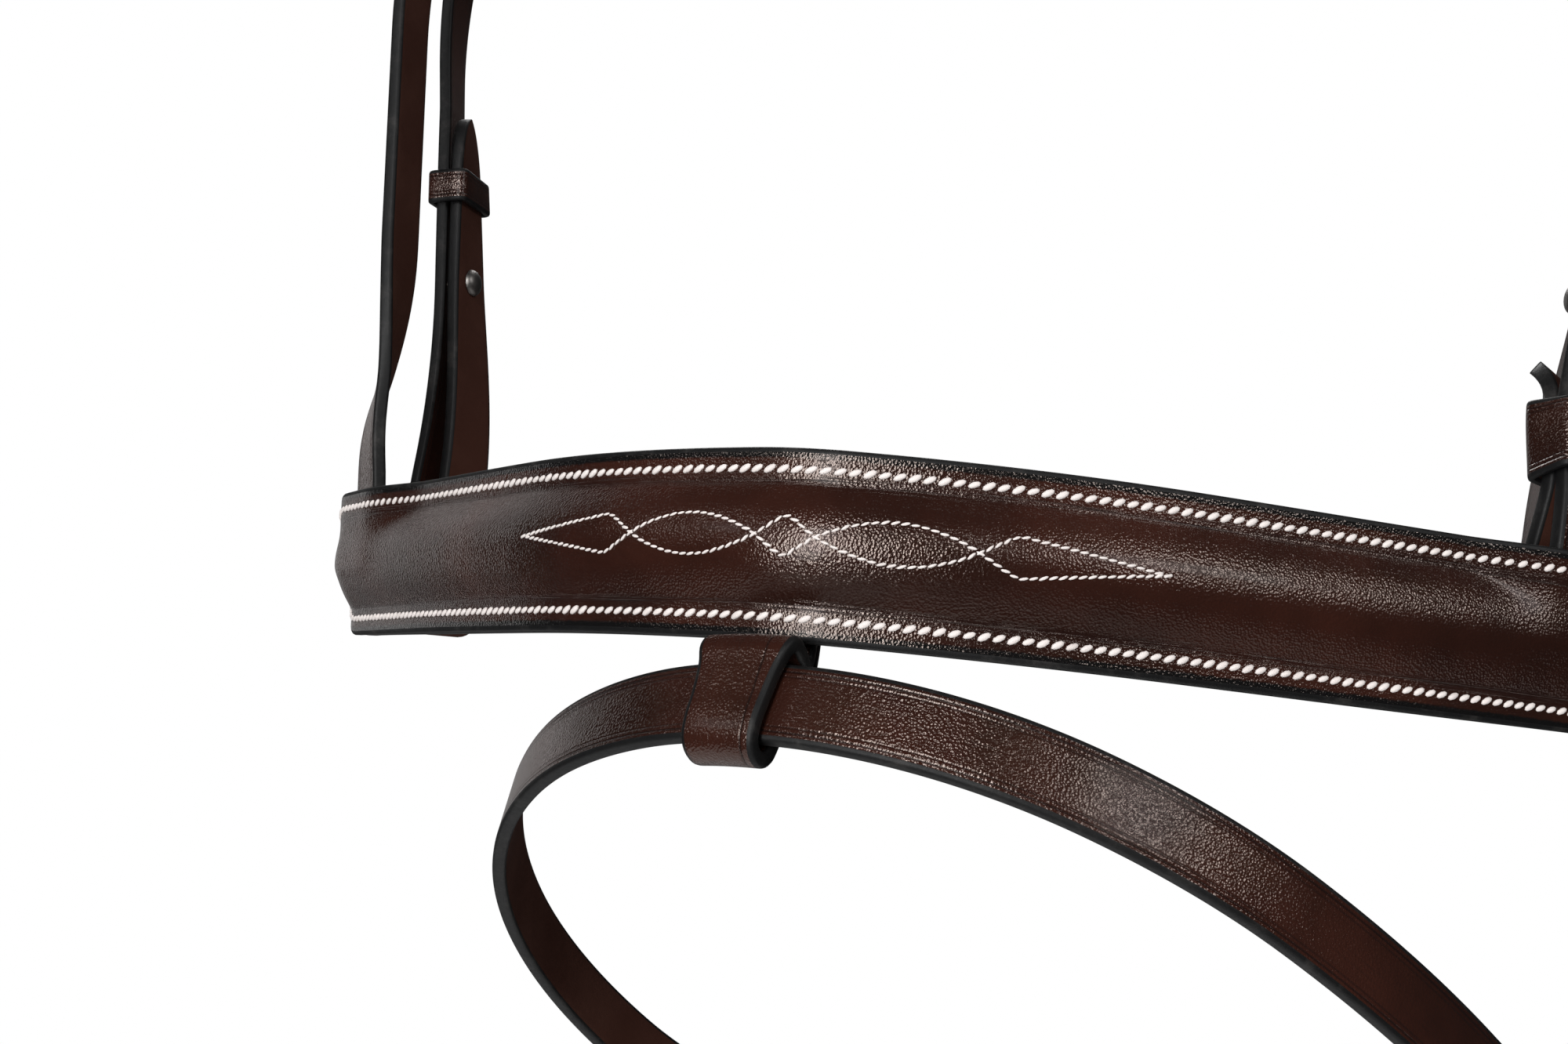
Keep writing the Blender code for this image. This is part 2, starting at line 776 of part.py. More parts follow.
def hanger_across(s):
    turn = smooth((abs(s) - side_nose + hanger_twist_run) / hanger_twist_run)
    along = nose_line.frame(hanger_seam(s))[1]
    if along.y < 0.0:
        along = -along
    return Vector((0.0, 1.0, 0.0)).lerp(along, turn)


def hanger_stops():
    blend = [side_nose - hanger_twist_run + hanger_twist_run * k / 10.0 for k in range(11)]
    return both_sides([s for s in side.stops() if s < blend[0]] + blend)


hanger_line = Line(hanger_middle, hanger_across, hanger_stops())


def cheek_across(s):
    z = side.at(abs(s))[0].y
    share = (z - cheek_twist_top_z) / (cheek_twist_low_z - cheek_twist_top_z)
    share = min(max(share, 0.0), 1.0)
    tail_z = cheek_heel_z - billet_tail
    start = smooth((z - tail_z) / (cheek_twist_top_z - tail_z))
    angle = math.radians(cheek_twist_top * start + (cheek_twist_low - cheek_twist_top) * share)
    return Vector((math.copysign(math.sin(angle), s), math.cos(angle), 0.0))


def cheek_stops():
    steps = 12
    run = cheek_twist_low_z - cheek_twist_top_z
    twist = [side_at_z(cheek_twist_top_z + run * k / steps) for k in range(steps + 1)]
    return both_sides([s for s in side.stops() if s < twist[0]] + twist)


def cheek_middle(s):
    return side_point(s, cheek_y, cheek_low_y)


cheek_line = Line(cheek_middle, cheek_across, cheek_stops(), head_lift)


def throat_run():
    half = poll_flat + arch_radius - throat_radius
    pieces = [(poll_flat, None), (arch_radius, -90.0), (throat_upright, None),
              (throat_radius, -90.0), (half, None)]
    return Run((0.0, pad_thick + gap + strap_thick / 2.0), 0.0, pieces)


throat = throat_run()
throat_length = 2.0 * throat.length


def throat_signed(q):
    return (q + throat.length) % throat_length - throat.length


def throat_middle(q):
    s = throat_signed(q)
    spot, heading = throat.at(abs(s))
    share = (abs(s) - side_drift) / (throat.length - side_drift)
    y = throat_y + (throat_low_y - throat_y) * smooth(share)
    return Vector((math.copysign(spot.x, s), y, spot.y))


def throat_stops():
    half = throat.stops()
    steps = 10
    drift = [side_drift + (throat.length - side_drift) * k / steps for k in range(steps)]
    half = [s for s in half if s < side_drift or s > drift[-1]] + drift + \
        [s for s in half if side_drift < s < drift[-1]]
    return [s for s in half] + [-s for s in half] + [throat_length - s for s in half]


throat_line = Line(throat_middle, lambda q: Vector((0.0, 1.0, 0.0)), throat_stops(), head_lift)


def flash_plan():
    """The flash strap's ring seen square on: its right and left halves and its rear run."""
    right = [(r, t) for r, t in zip(flash_right_radii, flash_right_turns)]
    left = [(r, t) for r, t in zip(flash_left_radii, flash_left_turns)]
    left_half = Run((0.0, 0.0), 0.0, left)
    left.append((flash_left_close, 180.0 - math.degrees(left_half.end_heading)))
    left_half = Run((0.0, 0.0), 0.0, left)
    start = Run((0.0, 0.0), 0.0, right)
    close = 180.0 - math.degrees(start.end_heading)
    far = Run(start.end, start.end_heading, [(flash_right_close, close)])
    lack = (left_half.end.y - far.end.y) / math.sin(start.end_heading)
    right += [(lack, None), (flash_right_close, close)]
    return Run((0.0, 0.0), 0.0, right), left_half


flash_right, flash_left = flash_plan()
flash_rear = flash_right.end.x + flash_left.end.x
flash_length = flash_right.length + flash_rear + flash_left.length


def flash_axes():
    """Directions of the ring: along the strap at the front, back through the ring, and up."""
    roll, fall = math.radians(flash_roll), math.radians(flash_fall)
    turn = math.radians(flash_turn)
    across = Vector((math.cos(roll), 0.0, -math.sin(roll)))
    back = Vector((0.0, math.cos(fall), -math.sin(fall)))
    back = (back - across * back.dot(across)).normalized()
    up = across.cross(back)
    first = across * math.cos(turn) + back * math.sin(turn)
    second = back * math.cos(turn) - across * math.sin(turn)
    return first, second, up


flash_first, flash_second, flash_up = flash_axes()
flash_origin = Vector((nose_shift, nose_front, nose_z)) + flash_front


def flash_place(q):
    """Place and heading on the ring's plane; the strap runs to the right from the front."""
    s = q % flash_length
    if s <= flash_right.length:
        spot, heading = flash_right.at(s)
        return spot.x, spot.y, heading
    if s <= flash_right.length + flash_rear:
        return flash_right.end.x - (s - flash_right.length), flash_right.end.y, math.pi
    spot, heading = flash_left.at(flash_length - s)
    return -spot.x, spot.y, math.tau - heading


def flash_middle(q):
    x, y, heading = flash_place(q)
    return flash_origin + flash_first * x + flash_second * y


def flash_across(q):
    x, y, heading = flash_place(q)
    out = flash_first * math.sin(heading) - flash_second * math.cos(heading)
    lean = math.radians(flash_lean)
    return flash_up * math.cos(lean) + out * math.sin(lean)


def flash_stops():
    right = flash_right.stops()
    left = [flash_length - s for s in flash_left.stops()]
    once = right + [flash_right.length + flash_rear] + left
    return once + [s + flash_length for s in once]


flash_line = Line(flash_middle, flash_across, flash_stops())


def brow_run():
    """Half of the browband's plan, from the middle of the forehead to the back of its loop."""
    inner = strap_thick / 2.0 + gap + strap_thick + gap + brow_thick / 2.0
    width = poll_flat + arch_radius + inner
    front = math.degrees(brow_front_arc / brow_front_radius)
    start = Run((0.0, 0.0), 0.0, [(brow_front_radius, front)])
    left = math.radians(90.0 - front)
    radius = (width - start.end.x) / (1.0 - math.cos(left))
    pieces = [(brow_front_radius, front), (radius, 90.0 - front)]
    return Run((0.0, 0.0), 0.0, pieces), inner


brow, brow_outer = brow_run()
brow_back = throat_y + throat_width / 2.0 + brow_slack
brow_start = hanger_y - hanger_width / 2.0 - brow_slack
brow_side = brow_back - brow_start + brow_loop_lap
brow_y = brow_back - brow_side - brow.end.y


def brow_middle(s):
    spot, heading = brow.at(abs(s))
    return Vector((math.copysign(spot.x, s), brow_y + spot.y, brow_z))


brow_line = Line(brow_middle, lambda s: Vector((0.0, 0.0, 1.0)), both_sides(brow.stops()))


def add_noseband():
    """The raised noseband: backing strap with the chin strap in one, padding and stitched face."""
    half = nose_height / 2.0
    chin_half = chin_width / 2.0
    heel = plan.length - chin_half_run + fixed_keeper_at + fixed_keeper_length
    buckle = Buckle(backing_line, heel, -1, chin_half, backing_thick)
    seam = hanger_seam(1)
    slot_half = hanger_width / 2.0 + gap + keeper_room
    slot_top = half - fold_depth
    slot_low = slot_top - fold_radius() - strap_thick / 2.0 - 2.0 * gap - keeper_room

    def half_at(q):
        fade = smooth((abs(nose_signed(q)) - face_half_length + taper_run) / taper_run)
        return half + (chin_half - half) * fade

    chape = buckle.chape_run()
    billet = buckle.billet_run()
    first, last = chape[-1][0], billet[0][0] + nose_length
    extra = buckle.body_stops() + [s + nose_length for s in seam_stops() + face_stops()]
    middle = backing_line.between(first, last, extra)[1:-1]
    run = [(s, n) for s, n, t in chape]
    run += [(s, buckle.body(s)) for s in middle]
    run += [(s + nose_length, n) for s, n in billet]
    thick = [t for s, n, t in chape] + [backing_thick] * (len(middle) + len(billet))
    tip = billet[-1][0] + nose_length
    last_row = len(run) - len(billet)

    def strap_half(i):
        s = run[i][0]
        return tip_half(chin_half, abs(s - tip)) if i >= last_row else half_at(s)

    backing = add_strap("noseband_backing", backing_line, run, strap_half, lambda i: thick[i],
                        lining_of("noseband_backing"))
    place, along, wide, out = backing_line.frame(seam)
    corners = ((-slot_half, slot_low), (slot_half, slot_low), (slot_half, slot_top),
               (-slot_half, slot_top))
    slit = (place, along, wide, out, corners, -backing_thick, backing_thick)
    punch(backing, "holes", buckle.holes() + [slit])
    punch(backing, "slot", [buckle.chape_slot()])
    buckle.add_frame("chin_buckle_frame")
    buckle.add_tongue("chin_buckle_tongue")
    buckle.add_keepers("chin")
    add_face()
    add_padding()
    return buckle


def fold_radius():
    """Middle radius of the hanger's fold round the backing strap."""
    return (backing_thick + 2.0 * gap + strap_thick) / 2.0


def crown_at(w):
    """Share of the crown's height at a place across the noseband."""
    share = abs(w) / crown_half
    for (far, low), (near, high) in zip(crown_shares, crown_shares[1:]):
        if share >= near:
            mix = min((share - near) / (far - near), 1.0)
            return high + (low - high) * mix
    return 1.0


def crown_fade(s):
    return 1.0 - smooth((abs(s) - face_half_length + face_end_run) / face_end_run)


def face_top(s, w):
    """Height of the face's outer side over the flat borders."""
    crown = crown_height * crown_at(w) * crown_fade(s)
    if w <= 0.0:
        return crown
    seam = hanger_seam(s)
    reach = hanger_width / 2.0 + keeper_room
    lift = strap_thick + gap + gap
    bump = 1.0 - smooth((abs(s - seam) - reach) / (reach * 0.8))
    return max(crown, lift * bump)


def face_columns(half):
    inner = sorted({side_sign * far * crown_half for far, high in crown_shares
                    for side_sign in (-1.0, 1.0)})
    scale = half * 2.0 / nose_height
    return [-half, edge_inset - half] + [w * scale for w in inner] + [half - edge_inset, half]


def seam_stops():
    reach = hanger_width / 2.0 + keeper_room
    far = reach * 1.8
    return [hanger_seam(sign) + step for sign in (-1, 1)
            for step in (-far, -reach, reach, far)]


def face_stops():
    """Cross-sections where the crown runs out at the face's ends."""
    return [sign * (face_half_length - face_end_run * share) for sign in (-1.0, 1.0)
            for share in (0.0, 0.5, 1.0)]


def add_face():
    stops = nose_line.between(-face_half_length, face_half_length, seam_stops() + face_stops())
    half = nose_height / 2.0
    chin_half = chin_width / 2.0
    net = []
    for s in stops:
        fade = smooth((abs(s) - face_half_length + taper_run) / taper_run)
        place, along, wide, out = nose_line.frame(s)
        row = []
        for w in face_columns(half + (chin_half + edge_inset - half) * fade):
            row.append(place + wide * w + out * (face_top(s, w) - face_thick / 2.0))
        net.append(row)
    leather_sheet("noseband_face", net, lambda i, j: face_thick, leather_of("noseband_face"))


def add_padding():
    """The filler: flat below, crowned above, from one hanger to the other."""
    room = hanger_width / 2.0 + keeper_room + gap
    stops = nose_line.between(hanger_seam(-1) + room, hanger_seam(1) - room, seam_stops())
    spots = sorted({sign * far * crown_half for far, high in crown_shares[1:]
                    for sign in (-1.0, 1.0)})
    filler("noseband_padding", nose_line, stops, spots, crown_half * crown_shares[1][0],
           gap / 2.0 - face_thick, lambda s, w: crown_height * crown_at(w) - padding_top_gap)


def add_hanger():
    """The strap over the poll: sewn into the noseband off side, folded through it near side."""
    half = hanger_width / 2.0
    radius = fold_radius()
    low = side_nose + fold_depth
    run = [(s, 0.0) for s in hanger_line.between(-side_nose - hanger_depth, low)]
    for angle in (30.0, 60.0, 90.0, 120.0, 150.0):
        a = math.radians(angle)
        run.append((low + radius * math.sin(a), -radius + radius * math.cos(a)))
    tail = side_nose - fold_tail
    close = strap_thick + gap
    stops = [low, side_nose, side_nose - hanger_keeper_low * 0.5]
    run += [(s, -2.0 * radius) for s in stops[:2]]
    run.append((stops[2], -2.0 * radius + (2.0 * radius - close) * 0.5))
    keeper_run = [side_nose - hanger_keeper_low + gap,
                  side_nose - hanger_keeper_low - hanger_keeper_length / 2.0,
                  side_nose - hanger_keeper_low - hanger_keeper_length]
    run += [(s, -close) for s in keeper_run]
    for share in (0.5, 0.8, 1.0):
        run.append((keeper_run[-1] + (tail - keeper_run[-1]) * share,
                    -close - fold_curl * share * share))
    tip = run[-1][0]
    narrow = len(run) - 3

    add_strap("hanger", hanger_line, run,
              lambda i: tip_half(half, abs(run[i][0] - tip)) if i >= narrow else half,
              lambda i: strap_thick, leather_of("hanger"))
    keeper("hanger_keeper", hanger_line,
           side_nose - hanger_keeper_low - hanger_keeper_length / 2.0, hanger_keeper_length,
           half, -close - strap_thick / 2.0 - gap, strap_thick / 2.0 + gap,
           leather_of("hanger_keeper"))


def add_crown_pad():
    """The padded lining under the poll: flat below, with a step beside the hanger on top."""
    line = Line(lambda s: side_point(s, 0.0, 0.0), lambda s: Vector((0.0, 1.0, 0.0)),
                both_sides(side.stops()), -strap_thick / 2.0 - gap)
    step = strap_thick + gap
    low = -pad_thick * edge_share
    top = ((pad_front, low), (pad_front + pad_border, 0.0), (pad_step_front, 0.0),
           (pad_step_back, step), (pad_back - pad_border, step), (pad_back, low))
    outline = top + ((pad_back - pad_border, -pad_thick), (pad_front + pad_border, -pad_thick))
    sections = []
    for s in line.between(-pad_reach, pad_reach):
        place, along, wide, out = line.frame(s)
        sections.append([place + wide * y + out * n for y, n in outline])
    loft("crown_pad", sections, lining_of("crown_pad"))


def head_buckles():
    """The four buckles that the headpiece's billets pass through, by name."""
    found = {}
    for label, sign in (("near", 1), ("off", -1)):
        heel = side_at_z(cheek_heel_z)
        found["cheek_" + label] = Buckle(cheek_line, sign * heel, -sign, cheek_width / 2.0)
        heel = side_at_z(throat_heel_z)
        found["throat_" + label] = Buckle(throat_line, sign * heel, -sign, throat_width / 2.0)
    return found


def crown_places(s, split):
    """Four points across the crown: the cheek strap's edges, then the throat strap's."""
    cheek_half, throat_half = cheek_width / 2.0, throat_width / 2.0
    widen = 1.0 - smooth((abs(s) - poll_flat) / (split - poll_flat))
    front = -cheek_half + (crown_front - cheek_y + cheek_half) * widen
    row = []
    for line, places in ((cheek_line, (front, cheek_half)),
                         (throat_line, (-throat_half, throat_half))):
        place, along, wide, out = line.frame(s)
        row += [place + wide * w for w in places]
    return row


def billet_places(line, buckle, half, split):
    """The two edges of one free billet, row by row, from the split to its tip."""
    sign = 1 if buckle.heel > 0 else -1
    billet = buckle.billet_run()
    start, first = sign * split, billet[0][0]
    run = [(start + (first - start) * k / (tail_rows + 1), 0.0) for k in range(tail_rows + 1)]
    run += billet
    tip = billet[-1][0]

    def columns(i):
        wide = tip_half(half, abs(run[i][0] - tip))
        return [-wide, wide]

    return strap_net(line, run, columns)[1:]


def add_headpiece(buckles):
    """The headpiece, cut in one: a wide crown that splits into two billets on each side."""
    split = side_at_z(split_z)
    crown = [crown_places(s, split) for s in cheek_line.between(-split, split)]
    sides = {}
    for label in ("off", "near"):
        cheek_net = billet_places(cheek_line, buckles["cheek_" + label], cheek_width / 2.0, split)
        throat_net = billet_places(throat_line, buckles["throat_" + label], throat_width / 2.0,
                                   split)
        sides[label] = [a + b for a, b in zip(cheek_net, throat_net)]
    net = sides["off"][::-1] + crown + sides["near"]
    first = len(sides["off"])
    last = first + len(crown) - 1

    def holds(i, j):
        return j != 1 or first <= i < last

    made = leather_sheet("headpiece", net, lambda i, j: strap_thick, leather_of("headpiece"),
                         holds, True, 2)
    punch(made, "holes", [hole for buckle in buckles.values() for hole in buckle.holes()])


def add_buckle(prefix, buckle):
    buckle.add_frame(prefix + "_buckle_frame")
    buckle.add_tongue(prefix + "_buckle_tongue")
    buckle.add_keepers(prefix)


def add_cheekpiece(label, sign, buckle):
    """A cheekpiece: chape at the top, bit loop below, its end hooked back on a stud."""
    half = cheek_width / 2.0
    close = strap_thick + 2.0 * gap
    loop = side_at_z(bit_loop_z)
    opening = side_at_z(bit_open_z)
    radius = bit_loop_radius
    chape = buckle.chape_run()
    first = abs(chape[-1][0])
    extra = [abs(s) for s in buckle.body_stops()]
    down = [abs(s) for s in cheek_line.between(first, loop, extra)][1:]
    run = [(s, n) for s, n, t in chape] + [(sign * s, buckle.body(sign * s)) for s in down]
    thick = [t for s, n, t in chape] + [strap_thick] * len(down)
    turn = [math.radians(a) for a in (30.0, 60.0, 90.0, 120.0, 150.0)]
    run += [(sign * (loop + radius * math.sin(a)), radius * (math.cos(a) - 1.0)) for a in turn]
    tip = side_at_z(bit_tip_z)
    back = cheek_line.between(loop, tip, [tip + stop for stop in tip_stops()])
    for s in back:
        share = smooth((s - opening) / (loop - opening))
        run.append((sign * s, -close - (2.0 * radius - close) * share))
    thick += [strap_thick] * (len(run) - len(thick))
    turned = len(run) - len(back)

    def strap_half(i):
        return tip_half(half, abs(abs(run[i][0]) - tip)) if i > turned else half

    name = "cheekpiece_" + label
    made = add_strap(name, cheek_line, run, strap_half, lambda i: thick[i], leather_of(name))
    stud = side_at_z(bit_stud_z)
    place, along, wide, out = cheek_line.frame(sign * stud)
    reach = close + strap_thick
    hole = (place, along, wide, out, oval(stud_shank + gap), -reach, reach)
    punch(made, "holes", [hole, buckle.chape_slot()])
    add_stud("bit_stud_" + label, place, out, close)
    at = side_at_z(bit_keeper_z)
    keeper("bit_keeper_" + label, cheek_line, sign * at, bit_keeper_length, half,
           -close - strap_thick / 2.0, strap_thick / 2.0, leather_of("bit_keeper_" + label))


def add_stud(name, place, out, close):
    """A hook stud: rivet head outside, shank through both leaves, domed head inside."""
    outside = strap_thick / 2.0 + gap
    inside = -close - strap_thick / 2.0 - gap
    profile = ((stud_shank, inside - stud_head_height), (stud_head, inside - stud_head_height / 2.0),
               (stud_head, inside), (stud_shank, inside), (stud_shank, outside),
               (stud_head, outside), (stud_head * 0.8, outside + stud_rivet_height))
    turn = out.to_track_quat("Z", "Y").to_matrix()
    sides = 10
    ring = [(math.cos(math.tau * k / sides), math.sin(math.tau * k / sides)) for k in range(sides)]
    sections = [[place + turn @ Vector((radius * x, radius * y, height)) for x, y in ring]
                for radius, height in profile]
    return loft(name, sections, metal_of(name))


def add_throatlash(near, off):
    """The throatlash, a chape at each end, hanging under the throat."""
    half = throat_width / 2.0
    chape_near, chape_off = near.chape_run(), off.chape_run()
    first = chape_near[-1][0]
    last = chape_off[-1][0] + throat_length
    extra = near.body_stops() + [s + throat_length for s in off.body_stops()]
    middle = throat_line.between(first, last, extra)[1:-1]
    run = [(s, n) for s, n, t in chape_near]
    run += [(s, near.body(s) + off.body(s - throat_length)) for s in middle]
    run += [(s + throat_length, n) for s, n, t in chape_off[::-1]]
    thick = [t for s, n, t in chape_near] + [strap_thick] * len(middle)
    thick += [t for s, n, t in chape_off[::-1]]
    made = add_strap("throatlash", throat_line, run, lambda i: half, lambda i: thick[i],
                     leather_of("throatlash"))
    punch(made, "slots", [near.chape_slot(), off.chape_slot()])


def brow_top(s, w):
    share = min(abs(w) / brow_crown_half, 1.0)
    fade = 1.0 - smooth((abs(s) - brow.length) / brow_loop_lap)
    return brow_crown_height * crown_at(share * crown_half) * fade


def add_browband():
    """The browband: backing with a loop at each end, padding and a raised face."""
    half = brow_height / 2.0
    loop = brow.length + brow_side
    radius = brow_outer / 2.0 + (strap_thick / 2.0 + gap + brow_thick / 2.0) / 2.0
    lap = -brow_thick - gap
    side_run_ = []
    for angle in (30.0, 60.0, 90.0, 120.0, 150.0):
        a = math.radians(angle)
        side_run_.append((loop + radius * math.sin(a), radius * (math.cos(a) - 1.0)))
    inner_front = brow.length + brow_loop_lap - gap
    side_run_ += [(loop, -2.0 * radius), (inner_front, -2.0 * radius)]
    for share in (0.25, 0.5, 0.75, 1.0):
        s = inner_front - brow_loop_lap * 0.8 * share
        side_run_.append((s, -2.0 * radius + (2.0 * radius + lap) * smooth(share)))
    side_run_.append((brow.length - brow_loop_lap * 0.7, lap))
    outer = [(s, 0.0) for s in brow_line.between(-loop, loop)]
    run = [(-s, n) for s, n in side_run_[::-1]] + outer + side_run_
    add_strap("browband_backing", brow_line, run, lambda i: half, lambda i: brow_thick,
              lining_of("browband_backing"))
    base = brow_thick / 2.0 + gap
    reach = brow.length + brow_loop_lap
    spots = sorted({sign * far * brow_crown_half for far, high in crown_shares
                    for sign in (-1.0, 1.0)})
    columns = [-half, edge_inset - half] + spots + [half - edge_inset, half]
    stops = brow_line.between(-reach, reach, [brow.length, -brow.length])
    net = []
    for s in stops:
        place, along, wide, out = brow_line.frame(s)
        net.append([place + wide * w + out * (base + brow_face_thick / 2.0 + brow_top(s, w))
                    for w in columns])
    leather_sheet("browband_face", net, lambda i, j: brow_face_thick,
                  leather_of("browband_face"))
    stops = brow_line.between(-brow.length, brow.length)
    filler("browband_padding", brow_line, stops, spots[1:-1], brow_crown_half * crown_shares[1][0],
           base, lambda s, w: base + brow_top(s, w) - gap)


def filler(name, line, stops, places, edge, low, top):
    """Padding under a raised face: flat below, crowned above."""
    sections = []
    for s in stops:
        place, along, wide, out = line.frame(s)
        above = [place + wide * w + out * top(s, w) for w in places]
        below = [place + wide * edge + out * low, place - wide * edge + out * low]
        sections.append(above + below)
    loft(name, sections, lining_of(name))


def add_flash_strap():
    """The flash strap, buckled behind the chin groove, front passing through its loop."""
    half = flash_width / 2.0
    heel = flash_right.length + buckle_reach + 2.0 * wire
    buckle = Buckle(flash_line, heel, -1, half, flash_thick)
    chape, billet = buckle.chape_run(), buckle.billet_run()
    first, last = chape[-1][0], billet[0][0] + flash_length
    middle = flash_line.between(first, last, buckle.body_stops())[1:-1]
    run = [(s, n) for s, n, t in chape] + [(s, buckle.body(s)) for s in middle]
    run += [(s + flash_length, n) for s, n in billet]
    thick = [t for s, n, t in chape] + [flash_thick] * (len(middle) + len(billet))
    tip = run[-1][0]
    last_row = len(run) - len(billet)

    def strap_half(i):
        return tip_half(half, abs(run[i][0] - tip)) if i >= last_row else half

    made = add_strap("flash_strap", flash_line, run, strap_half, lambda i: thick[i],
                     leather_of("flash_strap"))
    punch(made, "holes", buckle.holes())
    punch(made, "slot", [buckle.chape_slot()])
    add_buckle("flash", buckle)


def add_flash_loop():
    """The loop sewn behind the noseband's lower edge, folded forward round the flash strap."""
    band, ring = nose_line.frame(loop_at), flash_line.frame(0.0)
    seat = face_thick + gap + backing_thick + gap + loop_seat_thick / 2.0
    second = seat + loop_seat_thick + gap
    low = nose_height / 2.0 + loop_seat_low
    off = flash_thick / 2.0 + loop_room + loop_thick / 2.0
    foot = -flash_width / 2.0 - loop_drop + off - loop_thick / 2.0
    top = flash_width / 2.0
    drop = loop_thick / 2.0
    route = [(0, -seat, loop_seat_top), (0, -seat, -low),
             (0, -seat + drop * 0.8, -low - drop * 1.7),
             (0, -seat + drop * 2.4, -low - drop * 2.4),
             (0.5, drop * 1.8, -low - drop * 1.7)]
    route += [(1, off * 0.66, top + drop * 1.4), (1, off, top - gap), (1, off, 0.0), (1, off, foot)]
    for angle in (30.0, 60.0, 90.0, 120.0, 150.0):
        a = math.radians(angle)
        route.append((1, off * math.cos(a), foot - off * math.sin(a)))
    route += [(1, -off, foot), (1, -off, 0.0), (1, -off, top - drop * 0.8),
              (0.3, -second + drop * 3.7, -low - drop * 4.7),
              (0, -second + drop, -low - drop * 3.4),
              (0, -second, -low - drop), (0, -second, loop_seat_top)]
    net = []
    for kind, n, w in route:
        ground = ring if kind == 1 else band
        spot = ground[0] + ground[3] * n + ground[2] * w
        half = loop_top_half + (loop_low_half - loop_top_half) * kind
        row = []
        for across in plain_columns(half, True):
            points = []
            for line, base, start in ((nose_line, band, loop_at), (flash_line, ring, 0.0)):
                place, along, wide, out = line.frame(start + across)
                step = spot - base[0]
                points.append(place + out * step.dot(base[3]) + wide * step.dot(base[2]))
            row.append(points[0].lerp(points[1], kind))
        net.append(row)

    def thick(i, j):
        return loop_seat_thick if route[i][0] == 0 else loop_thick

    leather_sheet("flash_loop", net, thick, leather_of("flash_loop"))


clear_scene()
add_noseband()
add_hanger()
add_crown_pad()
heads = head_buckles()
add_headpiece(heads)
for label, sign in (("near", 1), ("off", -1)):
    add_cheekpiece(label, sign, heads["cheek_" + label])
    add_buckle("cheek_" + label, heads["cheek_" + label])
    add_buckle("throat_" + label, heads["throat_" + label])
add_throatlash(heads["throat_near"], heads["throat_off"])
add_browband()
add_flash_strap()
add_flash_loop()
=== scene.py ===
import json
import math

import bmesh
import bpy
import numpy
from mathutils import Matrix, Vector


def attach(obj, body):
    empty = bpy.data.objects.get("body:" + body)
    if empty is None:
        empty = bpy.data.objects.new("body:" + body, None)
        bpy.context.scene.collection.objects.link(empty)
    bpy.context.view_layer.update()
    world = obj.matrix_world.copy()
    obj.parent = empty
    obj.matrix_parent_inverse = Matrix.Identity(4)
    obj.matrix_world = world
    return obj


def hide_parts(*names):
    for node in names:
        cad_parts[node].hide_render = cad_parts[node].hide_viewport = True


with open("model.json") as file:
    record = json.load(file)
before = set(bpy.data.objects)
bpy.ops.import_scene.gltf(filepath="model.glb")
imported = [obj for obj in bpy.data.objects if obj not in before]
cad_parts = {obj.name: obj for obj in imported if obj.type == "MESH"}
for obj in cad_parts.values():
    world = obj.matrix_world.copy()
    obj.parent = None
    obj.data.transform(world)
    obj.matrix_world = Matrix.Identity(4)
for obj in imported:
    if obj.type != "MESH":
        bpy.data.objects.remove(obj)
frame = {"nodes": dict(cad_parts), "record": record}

mm = 0.001


# Sizes given in millimetres
def inMetres(**sizes):
    return {key: size * mm for key, size in sizes.items()}


nodeBody = {node: body for body, nodes in frame["record"]["behaviour"]["bodies"].items()
            for node in nodes}
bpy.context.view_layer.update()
print("frame loaded:", len(frame["nodes"]), "nodes")

fits = inMetres(gap=0.3, small=0.25, figureStep=0.5, padStep=3.0)
fits.update(
    rowStep=1.5 * mm,  # distance between a strap's cross-sections
    lineStep=4.0 * mm,  # distance between the places that its route is read at
    seamStep=1.0 * mm,  # the same for a row of stitches
    sharpAngle=math.radians(55.0),
)

leather = inMetres(strapThick=3.0, skivedThick=2.2, keeperThick=1.6, edge=0.9, tipLength=14.0)
leather.update(
    innerColumns=7, tipFloorShare=0.1,
    edgeShares=((0.0, 0.5), (0.13, 0.76), (0.45, 0.94), (1.0, 1.0)),  # inset, thickness
    edgeMostShare=0.3,  # of a strap's width, for each rounded edge
    keeperRound=(0.8, 0.45),  # most for its corners: of its thickness, of the stack's height
    keeperSides=(0.33, 0.67),  # more points along each of its sides
    foldAngles=(15.0, 30.0, 60.0, 90.0, 120.0, 150.0, 165.0),
    tipShares=(1.0, 0.85, 0.7, 0.56, 0.43, 0.31, 0.2, 0.12, 0.05, 0.015),
)
gap = fits["gap"]
strapThick = leather["strapThick"]


def smooth(x):
    x = min(max(x, 0.0), 1.0)
    return x * x * (3.0 - 2.0 * x)


def spread(start, stop, step):
    count = max(1, math.ceil(abs(stop - start) / step))
    return [start + (stop - start) * k / count for k in range(count + 1)]


# A place on a closed line as a distance from its start, forward or back, up to half its length
def signed(q, half):
    return (q + half) % (2.0 * half) - half


